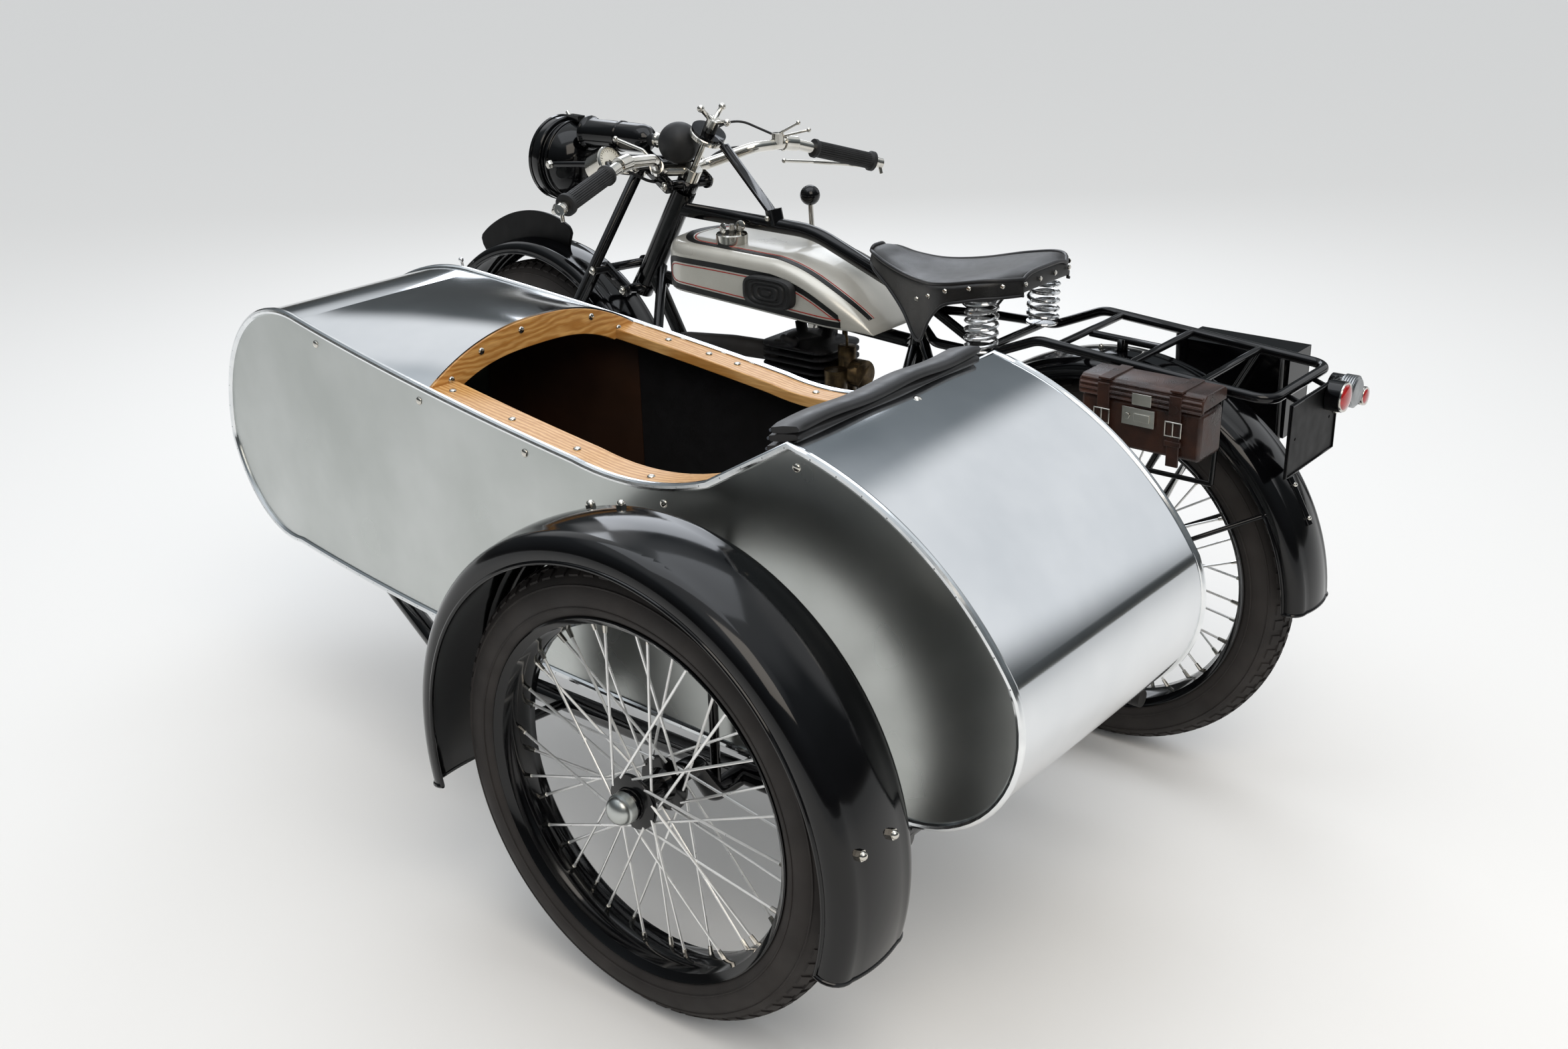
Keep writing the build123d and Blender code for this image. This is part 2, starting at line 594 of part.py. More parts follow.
def headlamp():
    """Lamp with a domed back and a deep front rim, on two arms from the fork's top spindle."""
    spindle = head_point(HEAD_HIGH_Z + 13, 62)
    arm = rod((spindle[0] + 6, 56, spindle[2] + 4), (1262, 84, 885), 6)
    back = ThreePointArc((1228, 0), (1236, 58), (1262, 83))
    rim = Polyline(back @ 1, (1300, 87), (1300, 95), (1331, 95), (1331, 84), (1325, 84), (1325, 0), back @ 0)
    shell = revolve(side_plane(0) * face_of(back, rim), Axis.X)
    return joined(Pos(0, 0, 885) * shell, *both_sides(arm))


def damper_knob():
    """Moving friction plate and the three-armed wing nut over it."""
    low_plate = rod(head_point(DAMPER_Z - 9), head_point(DAMPER_Z - 0.6), 34)
    neck = rod(head_point(DAMPER_Z - 1), head_point(DAMPER_Z + 8), 7)
    hub = rod(head_point(DAMPER_Z + 5.1), head_point(DAMPER_Z + 28), 13)
    arms = []
    for deg in (60, 180, 300):
        ahead, y = WING_REACH * cos(radians(deg)), WING_REACH * sin(radians(deg))
        tip = head_point(DAMPER_Z + 40, ahead, y)
        arms += [rod(head_point(DAMPER_Z + 22), tip, 4.5), Pos(*tip) * Sphere(7)]
    return joined(low_plate, neck, hub, *arms)


fork_piece, bar_piece, lamp_piece = forks(), handlebar(), headlamp()
nodes["forks"] = turned(fork_piece)
nodes["handlebar"] = turned(seated(bar_piece, fork_piece))
grip = rod((868, 268, 927.3), (824, 402, 893), 16.5) - bar_piece
nodes["grips"] = turned(grip + mirror(grip, about=Plane.XZ))
nodes["headlamp"] = turned(seated(lamp_piece, fork_piece))
nodes["headlamp_lens"] = turned(Pos(1328, 0, 885) * Rot(0, 90, 0) * Cylinder(83.5, 6))
horn_rings = [rod((x, 12, 950), (x + 8, 12, 950), 31) for x in (1050, 1120, 1200)]
horn_foot = rod((1060, 12, 940), (1003, 12, 906), 7)
horn = joined(rod((1045, 12, 950), (1215, 12, 950), 28), *horn_rings, horn_foot)
nodes["horn"] = turned(seated(horn, fork_piece))
bulb = joined(Pos(958, 12, 952) * Sphere(40), rod((990, 12, 952), (1045, 12, 950), 12))
nodes["horn_bulb"] = turned(seated(bulb, bar_piece, horn))
dial = joined(rod((1110, 56, 905), (1150, 56, 885), 30), rod((1125, 56, 888), (1012, 56, 893), 7))
nodes["instrument"] = turned(seated(dial, fork_piece, lamp_piece))
nodes["damper_knob"] = turned(seated(damper_knob(), bar_piece))
nodes["front_guard"] = turned(seated(front_guard(), fork_piece))

lamp = joined(rod((-318, -97, 672), (-356, -97, 672), 24), rod((-356, -97, 672), (-361, -97, 672), 21))
number = block((-337, -334), (-75, 105), (582, 700))
for y in (-50, 80):
    number -= rod((-340, y, 640), (-330, y, 640), 2.6)
brackets = [rod((-334, y, 690), (CARRIER_END_X, y, 700), 4) for y in (-40, 60)]
low_lamp = joined(rod((-330, -135, 655), (-360, -135, 655), 15), rod((-336, -97, 664), (-336, -135, 656), 4))
nodes["tail_lamp"] = joined(lamp, low_lamp)
nodes["rear_plate"] = seated(joined(number, *brackets), nodes["carrier"], nodes["tail_lamp"])


# Sidecar body

def side_outline(inset=0.0):
    """The side panel's (x, z) outline: D-shaped tail, low cockpit and round nose."""
    belly_back, belly_front = (-185, 322), (1150, 360)
    nose_tip, nose_top = (1376, 500), (1060, 778)
    low_start, low_end, tail = (380, 695), (130, 716), (-341, 563)
    face = face_of(
        Line(belly_back, belly_front),
        ThreePointArc(belly_front, (1318, 408), nose_tip),
        ThreePointArc(nose_tip, (1296, 702), nose_top),
        Line(nose_top, low_start),
        ThreePointArc(low_start, (250, 688), low_end),
        Line(low_end, PEAK),
        ThreePointArc(PEAK, (-205, 711), tail),
        ThreePointArc(tail, (-321, 392), belly_back))
    return offset(face, -inset) if inset else face


def bend_fall(x, inset):
    """How far the body's side has bent in at x."""
    bend_r = PLAN_BEND_R - inset
    return bend_r - sqrt(bend_r ** 2 - (x - PLAN_BEND_X) ** 2)


def plan_column(inset):
    """The body's plan outline, set in by inset, drawn through the whole height."""
    curves, backs, fronts = [], [], []
    for side in (-1, 1):
        y_back = BODY_MID_Y + side * (BODY_HALF - inset)
        bend = [(x, y_back - side * bend_fall(x, inset)) for x in (PLAN_BEND_X, 900, 1450)]
        curves += [ThreePointArc(*bend), Line((-420, y_back), bend[0])]
        backs.append((-420, y_back))
        fronts.append(bend[-1])
    return Pos(0, 0, 200) * extrude(face_of(*curves, Line(*backs), Line(*fronts)), 800)


def body_slab(inset):
    """The side outline drawn across more than the whole width."""
    return extrude(side_plane(1000) * side_outline(inset), 700)


def zone(x_low, x_high, z_low=200.0, z_high=1000.0):
    """A block across the whole sidecar body."""
    return block((x_low, x_high), (300, 1000), (z_low, z_high))


def top_z(x):
    """Height of the side panel's straight top edge."""
    return 695 + (x - 380) * (778 - 695) / (1060 - 380)


def inside_half(x):
    """Half of the clear width between the side panels at x."""
    return BODY_HALF - WALL - bend_fall(x, WALL)


def arch_face(x, half, rise, depth):
    """A thin arched section across the body at x."""
    z = top_z(x)
    left, right = BODY_MID_Y + half, BODY_MID_Y - half
    top = ThreePointArc((x, right, z), (x, BODY_MID_Y, z + rise), (x, left, z))
    low = ThreePointArc((x, right, z - depth), (x, BODY_MID_Y, z + rise - depth), (x, left, z - depth))
    return face_of(top, low, Line(top @ 0, low @ 0), Line(top @ 1, low @ 1))


slab, inner_slab, room = body_slab(0), body_slab(SKIN), plan_column(WALL)
walls = slab & (plan_column(0) - room)
nodes["outer_side_panel"] = walls & block((-500, 1500), (BODY_MID_Y, 1100), (200, 1000))
nodes["inner_side_panel"] = walls & block((-500, 1500), (200, BODY_MID_Y), (200, 1000))
closed = ((slab - inner_slab) & room) - zone(PEAK[0], DECK_END_X, 600)
nodes["nose_and_belly"] = closed & zone(SPLIT_X, 1500)
nodes["tail_wrap"] = closed & zone(-500, SPLIT_X)

deck_start = BOW_X + BOW_THICK
bow_half = inside_half(deck_start)
deck_end = arch_face(DECK_END_X, inside_half(DECK_END_X), 4, SKIN)
deck = loft([arch_face(deck_start, bow_half, BOW_RISE, SKIN), deck_end], ruled=True)
nodes["nose_deck"] = deck & room
nodes["cockpit_bow"] = extrude(arch_face(BOW_X, bow_half, BOW_RISE, 48), BOW_THICK, dir=(1, 0, 0))
rail_band = (slab - body_slab(RAIL_DEEP)) & zone(46, BOW_X, 600)
nodes["cockpit_rails"] = (rail_band & room) - plan_column(WALL + RAIL_WIDE)

seat_y = (BODY_MID_Y - SEAT_HALF, BODY_MID_Y + SEAT_HALF)
floor = (inner_slab - body_slab(SKIN + FLOOR)) & room & zone(-140, 1040, 200, 420)
plinth = block((45, 430), (seat_y[0] + 15, seat_y[1] - 15), (335, 400)) & inner_slab
nodes["floor_board"] = joined(floor, plinth)
nodes["seat_cushion"] = block((45, 440), seat_y, (400, 505))
nodes["seat_back"] = seated(block((-28, 42), seat_y, (340, 771)), floor)
nodes["cockpit_roll"] = rod((16, seat_y[0], 792), (16, seat_y[1], 792), 21)
trim = (room - plan_column(WALL + 5)) & zone(46, BOW_X - 2, 506, 668)
nodes["cockpit_lining"] = trim


# Sidecar chassis

def sidecar_chassis():
    """Two long tubes joined across, the wheel spindle and four arms to the motorcycle."""
    nose_out = [(-230, CHASSIS_OUT_Y, CHASSIS_Z), (760, CHASSIS_OUT_Y, CHASSIS_Z), (990, 790, 340)]
    nose_in = [(-230, CHASSIS_IN_Y, CHASSIS_Z), (830, CHASSIS_IN_Y, CHASSIS_Z), (1000, 500, 340)]
    rails = [pipe(nose_out, CHASSIS_R, 120), pipe(nose_in, CHASSIS_R, 100)]
    cross = [rod((x, CHASSIS_IN_Y, CHASSIS_Z), (x, CHASSIS_OUT_Y, CHASSIS_Z), 15) for x in CROSS_X]
    step = [(SIDE_LEAD, CHASSIS_OUT_Y, CHASSIS_Z), (SIDE_LEAD, 915, CHASSIS_Z)]
    step += [(SIDE_LEAD, 950, WHEEL_R), (SIDE_LEAD, 989, WHEEL_R)]
    rear_arm = [(116, CHASSIS_IN_Y, CHASSIS_Z), (100, 250, CHASSIS_Z), (12, 110, 320), (0, 82, WHEEL_R)]
    arms = [
        pipe(step, 15, 18),
        pipe(rear_arm, 12, 25),
        rod((820, CHASSIS_IN_Y + 6, CHASSIS_Z), (840, 30, 305), 12),
        rod((330, CHASSIS_IN_Y, CHASSIS_Z), (408, 10, 640), 10),
        rod((800, CHASSIS_IN_Y, CHASSIS_Z), head_point(712, -20), 10),
    ]
    spindle = rod((SIDE_LEAD, 980, WHEEL_R), (SIDE_LEAD, 1085, WHEEL_R), AXLE_R)
    pads = []
    for x in (CROSS_X[0], CROSS_X[2]):
        for y in (CHASSIS_IN_Y + 130, CHASSIS_OUT_Y - 90):
            pads.append(block((x - 20, x + 20), (y - 22, y + 22), (CHASSIS_Z, 352)))
    return joined(rails[0], rails[1], *cross, *arms, spindle, *pads)


nodes["sidecar_chassis"] = seated(sidecar_chassis(), frame, slab & plan_column(0))
nodes["side_guard"] = seated(side_guard(), nodes["sidecar_chassis"], nodes["outer_side_panel"])
nodes["rear_guard"] = seated(rear_guard(), frame, nodes["carrier"], nodes["sidecar_chassis"])

# Everything moves together, so that the origin is under the outfit's middle
boxes = [shape.bounding_box() for shape in nodes.values()]
low_x, high_x = min(box.min.X for box in boxes), max(box.max.X for box in boxes)
low_y, high_y = min(box.min.Y for box in boxes), max(box.max.Y for box in boxes)
shift = (-(low_x + high_x) / 2, -(low_y + high_y) / 2, -min(box.min.Z for box in boxes))
print("length", high_x - low_x, "width", high_y - low_y, "shift", shift)

os.makedirs("parts", exist_ok=True)
for name, shape in nodes.items():
    export_step(Pos(*shift) * shape, f"parts/{name}.step")
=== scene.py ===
"""Dresses the sidecar outfit: finishes, shells, soft goods, floor, lights and camera.

Everything is drawn in millimetres in the outfit's drawing frame, where the rear axle is over
x = 0, the motorcycle's middle plane is y = 0 and the ground is z = 0, and place() turns that
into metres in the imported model's frame. +X is forward, +Y is left, +Z is up.
"""

import logging
import math
from collections.abc import Callable, Iterable, Sequence
from dataclasses import dataclass
from enum import Enum
from functools import cache

import bmesh
import bpy
from mathutils import Matrix, Vector


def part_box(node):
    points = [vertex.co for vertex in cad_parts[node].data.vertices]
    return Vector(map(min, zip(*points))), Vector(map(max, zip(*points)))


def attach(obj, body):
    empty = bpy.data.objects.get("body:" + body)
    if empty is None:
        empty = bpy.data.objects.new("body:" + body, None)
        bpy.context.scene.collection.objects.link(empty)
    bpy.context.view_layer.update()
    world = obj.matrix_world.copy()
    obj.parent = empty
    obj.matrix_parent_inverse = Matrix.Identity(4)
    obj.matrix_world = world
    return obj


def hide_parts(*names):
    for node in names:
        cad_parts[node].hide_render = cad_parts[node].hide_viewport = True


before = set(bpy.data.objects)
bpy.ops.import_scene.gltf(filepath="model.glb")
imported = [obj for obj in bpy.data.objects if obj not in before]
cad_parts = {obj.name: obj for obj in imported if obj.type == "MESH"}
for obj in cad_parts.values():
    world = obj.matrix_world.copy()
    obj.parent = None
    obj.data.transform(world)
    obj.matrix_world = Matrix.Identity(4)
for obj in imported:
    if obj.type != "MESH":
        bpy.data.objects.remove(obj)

Spot = tuple[float, float, float]
Flat = tuple[float, float]
Bend = tuple[Flat, Flat, Flat]

log = logging.getLogger("outfit")

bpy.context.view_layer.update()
WHEEL_R = 330.0
REAR_TYRE_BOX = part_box("rear_tyre")
REAR_AXLE = (REAR_TYRE_BOX[0] + REAR_TYRE_BOX[1]) / 2
HEAD_TILT = math.radians(30.0)
HEAD_GROUND_X = 1453.0
REST_TURN = math.radians(-6.0)
WELD_M = 2e-5
SLIVER_M = 1e-6
WHEELBASE = 1385.0
SIDE_AXLE = (116.0, 1041.0, WHEEL_R)
REAR_HUB = (0.0, 0.0, WHEEL_R)
FRONT_HUB = (WHEELBASE, 0.0, WHEEL_R)


class Body(Enum):
    """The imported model's bodies that pieces ride on."""

    FRAME = "frame"
    STEERING = "steering"
    FRONT_WHEEL = "front_wheel"
    REAR_WHEEL = "rear_wheel"
    SIDE_WHEEL = "side_wheel"
    TOOLBOX_DOOR = "toolbox_door"

    @property
    def turned(self) -> bool:
        """Whether its pieces are drawn straight ahead and then turned to rest with the steering."""
        return self in (Body.STEERING, Body.FRONT_WHEEL)


class Slot(Enum):
    """The record's material slots."""

    BLACK_ENAMEL = "black_enamel"
    POLISHED_ALUMINIUM = "polished_aluminium"
    NICKEL = "nickel"
    TANK_SILVER = "tank_silver"
    ENGINE_ALLOY = "engine_alloy"
    CAST_IRON = "cast_iron"
    BLACK_PIPE = "black_pipe"
    BRONZE = "bronze"
    TYRE_RUBBER = "tyre_rubber"
    BLACK_RUBBER = "black_rubber"
    BLACK_VINYL = "black_vinyl"
    BROWN_LINING = "brown_lining"
    LAMP_GLASS = "lamp_glass"
    CHAIN_STEEL = "chain_steel"
    WHEEL_ENAMEL = "wheel_enamel"
    PLYWOOD = "plywood"
    ASH_WOOD = "ash_wood"
    BLACK_LEATHER = "black_leather"
    BROWN_LEATHER = "brown_leather"


def place(x: float, y: float, z: float) -> Vector:
    """A point of the drawing frame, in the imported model's metres."""
    return Vector((REAR_AXLE.x + x / 1000, REAR_AXLE.y + y / 1000, z / 1000))


def steered() -> Matrix:
    """The turn, about the steering axis, that takes the straight-ahead pieces to their rest."""
    foot = place(HEAD_GROUND_X, 0, 0)
    axis = Vector((-math.sin(HEAD_TILT), 0, math.cos(HEAD_TILT)))
    turn = Matrix.Rotation(REST_TURN, 4, axis)
    return Matrix.Translation(foot) @ turn @ Matrix.Translation(-foot)


def head_point(z: float, ahead: float = 0.0, y: float = 0.0) -> Spot:
    """A spot beside the steering axis.

    Args:
        z: Height on the axis.
        ahead: Distance in front of the axis, square to it.
        y: Distance to the left.

    Returns:
        The spot in the drawing frame.
    """
    x = HEAD_GROUND_X - z * math.tan(HEAD_TILT)
    return (x + ahead * math.cos(HEAD_TILT), y, z + ahead * math.sin(HEAD_TILT))


def around(axle: Spot, radius: float, deg: float, y: float) -> Spot:
    """A spot at a radius from an axle, deg up from straight ahead and y beside the axle's own y."""
    turn = math.radians(deg)
    return (axle[0] + radius * math.cos(turn), axle[1] + y, axle[2] + radius * math.sin(turn))


def arc(start: Flat, middle: Flat, end: Flat, steps: int) -> list[Flat]:
    """Points on the circle through three points.

    Args:
        start: First end.
        middle: A point on the way.
        end: Second end, which is left off so that runs can be chained.
        steps: Number of pieces.

    Returns:
        The points from start on, without end.
    """
    (ax, ay), (bx, by), (cx, cy) = start, middle, end
    d = 2 * (ax * (by - cy) + bx * (cy - ay) + cx * (ay - by))
    a2, b2, c2 = ax * ax + ay * ay, bx * bx + by * by, cx * cx + cy * cy
    ux = (a2 * (by - cy) + b2 * (cy - ay) + c2 * (ay - by)) / d
    uy = (a2 * (cx - bx) + b2 * (ax - cx) + c2 * (bx - ax)) / d
    first, mid, last = (math.atan2(p[1] - uy, p[0] - ux) for p in (start, middle, end))
    sweep = (last - first) % math.tau
    if (mid - first) % math.tau > sweep:
        sweep -= math.tau
    radius = math.hypot(ax - ux, ay - uy)
    turns = [first + sweep * k / steps for k in range(steps)]
    return [(ux + radius * math.cos(t), uy + radius * math.sin(t)) for t in turns]


def evenly(line: Sequence[Flat], count: int) -> list[Flat]:
    """Evenly spaced spots along a line of spots."""
    reach = [0.0]
    for (ax, az), (bx, bz) in zip(line, line[1:]):
        reach.append(reach[-1] + math.hypot(bx - ax, bz - az))
    spots, k = [], 0
    for step in range(count + 1):
        goal = reach[-1] * step / count
        while k < len(line) - 2 and reach[k + 1] < goal:
            k += 1
        t = (goal - reach[k]) / max(1e-9, reach[k + 1] - reach[k])
        (ax, az), (bx, bz) = line[k], line[k + 1]
        spots.append((ax + (bx - ax) * t, az + (bz - az) * t))
    return spots


def flowing(keys: Sequence[Flat], at: float) -> float:
    """The value at a place on a smooth curve through (place, value) keys."""
    ends = [(keys[max(0, k - 1)], keys[min(len(keys) - 1, k + 1)]) for k in range(len(keys))]
    slopes = [(high - low) / (b - a) for (a, low), (b, high) in ends]
    for k, ((a, low), (b, high)) in enumerate(zip(keys, keys[1:])):
        if a <= at <= b:
            span, t = b - a, (at - a) / (b - a)
            rise, bend = 3 * t * t - 2 * t ** 3, t ** 3 - t * t
            return (1 - rise) * low + rise * high + span * ((bend - t * t + t) * slopes[k] + bend
                                                            * slopes[k + 1])
    return keys[-1][1]


def rounded(corners: Sequence[Spot], bends: Sequence[float], steps: int = 8) -> list[Vector]:
    """A path of straight runs whose corners are tangent arcs.

    Args:
        corners: The path's ends and corners.
        bends: One radius for each corner between the ends.
        steps: Pieces in each arc.

    Returns:
        Points along the path.
    """
    spots = [Vector(c) for c in corners]
    path = [spots[0]]
    for before, corner, after, bend in zip(spots, spots[1:], spots[2:], bends):
        back, ahead = (before - corner).normalized(), (after - corner).normalized()
        half = back.angle(ahead) / 2
        reach = min(bend / math.tan(half), 0.49 * (before - corner).length,
                    0.49 * (after - corner).length)
        middle = corner + (back + ahead).normalized() * (reach / math.cos(half))
        radius = reach * math.tan(half)
        start, end = corner + back * reach - middle, corner + ahead * reach - middle
        for k in range(steps + 1):
            path.append(middle + start.slerp(end, k / steps).normalized() * radius)
    path.append(spots[-1])
    return path


def linked(name: str, data: object) -> bpy.types.Object:
    """A new object in the scene."""
    made = bpy.data.objects.new(name, data)
    bpy.context.scene.collection.objects.link(made)
    return made


class Draft:
    """A mesh in the making, in millimetres of the drawing frame."""

    def __init__(self) -> None:
        """Starts with nothing in it."""
        self.spots: list[Vector] = []
        self.faces: list[tuple[int, ...]] = []
        self.tints: list[int] = []
        self.tint = 0

    def add(self, spots: Iterable[Sequence[float]], faces: Iterable[Sequence[int]]) -> "Draft":
        """Adds a mesh.

        Args:
            spots: Its vertices.
            faces: Its faces, by index into spots.

        Returns:
            The draft itself.
        """
        first = len(self.spots)
        self.spots += [Vector(s) for s in spots]
        for face in faces:
            self.faces.append(tuple(first + i for i in face))
            self.tints.append(self.tint)
        return self

    def rings(self, rings: Sequence[Sequence[Sequence[float]]], closed: bool = False,
              loop: bool = True, capped: bool = True) -> "Draft":
        """Skins a row of rings of equal count.

        Args:
            rings: The rings, each a list of spots.
            closed: Whether the last ring joins the first.
            loop: Whether each ring closes on itself.
            capped: Whether the first and last ring get a cap.

        Returns:
            The draft itself.
        """
        count, size = len(rings), len(rings[0])
        spots = [spot for ring in rings for spot in ring]
        faces: list[tuple[int, ...]] = []
        for k in range(count if closed else count - 1):
            near, far = k * size, (k + 1) % count * size
            for i in range(size if loop else size - 1):
                j = (i + 1) % size
                faces.append((near + i, near + j, far + j, far + i))
        if capped and loop and not closed:
            faces.append(tuple(reversed(range(size))))
            faces.append(tuple((count - 1) * size + i for i in range(size)))
        return self.add(spots, faces)

    def tube(self, path: Sequence[Sequence[float]], radius: float | Sequence[float],
             sides: int, closed: bool = False) -> "Draft":
        """A round tube along a path, with frames that don't twist.

        Args:
            path: Points along its middle.
            radius: One radius, or one for each point.
            sides: Number of sides.
            closed: Whether the path closes on itself.

        Returns:
            The draft itself.
        """
        spots = [Vector(p) for p in path]
        radii = list(radius) if isinstance(radius, Sequence) else [radius] * len(spots)
        rings, across = [], None
        for k, spot in enumerate(spots):
            before = spots[k - 1] if k or closed else spot
            after = spots[(k + 1) % len(spots)] if k + 1 < len(spots) or closed else spot
            along = (after - before).normalized()
            if across is None:
                across = along.orthogonal().normalized()
            across = (across - along * across.dot(along)).normalized()
            up = along.cross(across)
            turns = [math.tau * i / sides for i in range(sides)]
            rings.append([spot + (across * math.cos(t) + up * math.sin(t)) * radii[k]
                          for t in turns])
        return self.rings(rings, closed=closed)

    def rod(self, start: Sequence[float], end: Sequence[float], radius: float,
            end_radius: float | None = None, sides: int = 20) -> "Draft":
        """A straight round or tapered bar between two spots."""
        return self.tube([start, end], [radius, radius if end_radius is None else end_radius],
                         sides)

    def lathe(self, profile: Sequence[Flat], base: Sequence[float], axis: Sequence[float],
              steps: int, closed: bool = False,
              reference: Sequence[float] | None = None) -> "Draft":
        """A turned shape.

        Args:
            profile: (radius, height) pairs along the axis.
            base: The spot where height is 0.
            axis: Direction of the axis.
            steps: Number of pieces round.
            closed: Whether the profile closes on itself.
            reference: Direction where the angle is 0.

        Returns:
            The draft itself.
        """
        up = Vector(axis).normalized()
        side = Vector(reference) if reference is not None else up.orthogonal()
        side = (side - up * side.dot(up)).normalized()
        front, origin = up.cross(side), Vector(base)
        rings = []
        for k in range(steps):
            turn = math.radians(360.0 * k / steps)
            out = side * math.cos(turn) + front * math.sin(turn)
            rings.append([origin + out * r + up * h for r, h in profile])
        return self.rings(rings, closed=True, loop=closed, capped=closed)

    def slab(self, outline: Sequence[Sequence[float]], shift: Sequence[float]) -> "Draft":
        """A plate: an outline of spots and its twin, moved by shift, with its edge between them."""
        near = [Vector(s) for s in outline]
        return self.rings([near, [s + Vector(shift) for s in near]])

    def block(self, x: Flat, y: Flat, z: Flat) -> "Draft":
        """A box from three (low, high) pairs."""
        base = [(x[0], y[0], z[0]), (x[1], y[0], z[0]), (x[1], y[1], z[0]), (x[0], y[1], z[0])]
        return self.slab(base, (0, 0, z[1] - z[0]))

    def ball(self, centre: Sequence[float], radius: float, steps: int = 20) -> "Draft":
        """A ball with closed poles."""
        turns = [math.pi * k / (steps // 2) for k in range(steps // 2 + 1)]
        profile = [(radius * math.sin(t), -radius * math.cos(t)) for t in turns]
        return self.lathe(profile, centre, (0, 0, 1), steps)

    def mirrored(self) -> "Draft":
        """Adds the twin of all that is in the draft on the other side of the middle plane."""
        spots = [(s.x, -s.y, s.z) for s in self.spots]
        faces, tints = [tuple(reversed(f)) for f in self.faces], list(self.tints)
        self.add(spots, faces)
        self.tints[-len(tints):] = tints
        return self

    def mesh(self, name: str, placed: bool = True) -> bpy.types.Mesh:
        """The draft as a mesh in metres, in its place or about its own origin."""
        mesh = bpy.data.meshes.new(name)
        mesh.from_pydata([place(*s) if placed else s / 1000 for s in self.spots], [], self.faces)
        return mesh


@dataclass(frozen=True)
class Look:
    """What a surface is made of and how its colour, gloss and grain vary.

    Colours are sRGB hex values; sizes are real millimetres. The slot is the record's for the pieces
    that have this finish, unless they name another.
    """

    name: str
    slot: Slot
    colour: str
    fleck: str
    grain_mm: float = 40.0
    metallic: float = 0.0
    roughness: float = 0.4
    rough_spread: float = 0.08
    bump_mm: float = 0.05
    bump_grain_mm: float = 1.5
    bump_detail: float = 4.0
    stretch: Spot = (1.0, 1.0, 1.0)
    coat: float = 0.0
    sheen: float = 0.0
    specular: float = 0.5


def linear(colour: str) -> tuple[float, float, float, float]:
    """Turns an sRGB hex colour into the linear values that the shaders take."""
    parts = [int(colour[i:i + 2], 16) / 255 for i in (1, 3, 5)]
    values = [p / 12.92 if p <= 0.04045 else ((p + 0.055) / 1.055) ** 2.4 for p in parts]
    return (values[0], values[1], values[2], 1.0)


class Graph:
    """A node tree, built node by node."""

    def __init__(self, tree: bpy.types.NodeTree) -> None:
        """Takes the tree that the nodes go into."""
        self.tree = tree

    def node(self, kind: str, settings: dict[str, object] | None = None,
             **links: object) -> bpy.types.Node:
        """Adds a node with its settings and links.

        Args:
            kind: The node's type.
            settings: Attributes of the node.
            **links: Input name, with spaces as underscores, or n and its number, to a value or to
                another node's socket.

        Returns:
            The node.
        """
        made = self.tree.nodes.new(kind)
        for key, value in (settings or {}).items():
            setattr(made, key, value)
        for key, value in links.items():
            self.feed(made, key.replace("_", " "), value)
        return made

    def feed(self, node: bpy.types.Node, name: str, value: object) -> None:
        """Sets or links one input of a node, by its name, or by n and its number."""
        live = [s for s in node.inputs if s.enabled]
        number = name[1:] if name[0] == "n" else ""
        socket = live[int(number)] if number.isdigit() else next(s for s in live if s.name == name)
        if isinstance(value, bpy.types.NodeSocket):
            self.tree.links.new(value, socket)
        else:
            socket.default_value = value


class Mixture(Graph):
    """A material's node tree, with its shader and its object coordinates."""

    def __init__(self, name: str) -> None:
        """Starts a material of that name."""
        self.material = bpy.data.materials.new(name)
        self.material.use_nodes = True
        super().__init__(self.material.node_tree)
        self.shader = self.tree.nodes["Principled BSDF"]
        self.place = self.node("ShaderNodeTexCoord").outputs["Object"]

    def stretched(self, stretch: Spot) -> bpy.types.NodeSocket:
        """Object coordinates, stretched along the axes."""
        return self.node("ShaderNodeMapping", Vector=self.place, Scale=stretch).outputs["Vector"]

    def noise(self, grain_mm: float, place: bpy.types.NodeSocket | None = None, detail: float = 4.0,
              distortion: float = 0.0) -> bpy.types.NodeSocket:
        """A noise whose blotches are grain_mm across."""
        made = self.node("ShaderNodeTexNoise", Vector=place or self.place, Scale=1000.0 / grain_mm,
                         Detail=detail, Distortion=distortion)
        return made.outputs["Fac"]

    def spread(self, value: bpy.types.NodeSocket, low: float, high: float, start: float = 0.3,
               stop: float = 0.7) -> bpy.types.NodeSocket:
        """Maps a 0-1 pattern's middle range onto low to high."""
        made = self.node("ShaderNodeMapRange", Value=value, From_Min=start, From_Max=stop,
                         To_Min=low, To_Max=high)
        return made.outputs["Result"]

    def blend(self, share: object, first: object, second: object) -> bpy.types.NodeSocket:
        """Mixes two colours by a share from 0 to 1."""
        made = self.node("ShaderNodeMix", {"data_type": "RGBA"})
        for key, value in (("Factor", share), ("A", first), ("B", second)):
            self.feed(made, key, value)
        return next(s for s in made.outputs if s.enabled)

    def bump(self, height: object, depth_mm: float, normal: object = None) -> bpy.types.NodeSocket:
        """A bump of depth_mm, over another one if normal is given."""
        made = self.node("ShaderNodeBump", Height=height, Distance=depth_mm / 1000, Strength=1.0)
        if normal is not None:
            self.feed(made, "Normal", normal)
        return made.outputs["Normal"]

    def shade(self, **values: object) -> bpy.types.Material:
        """Feeds the shader's inputs and gives the material back."""
        for key, value in values.items():
            self.feed(self.shader, key.replace("_", " "), value)
        return self.material


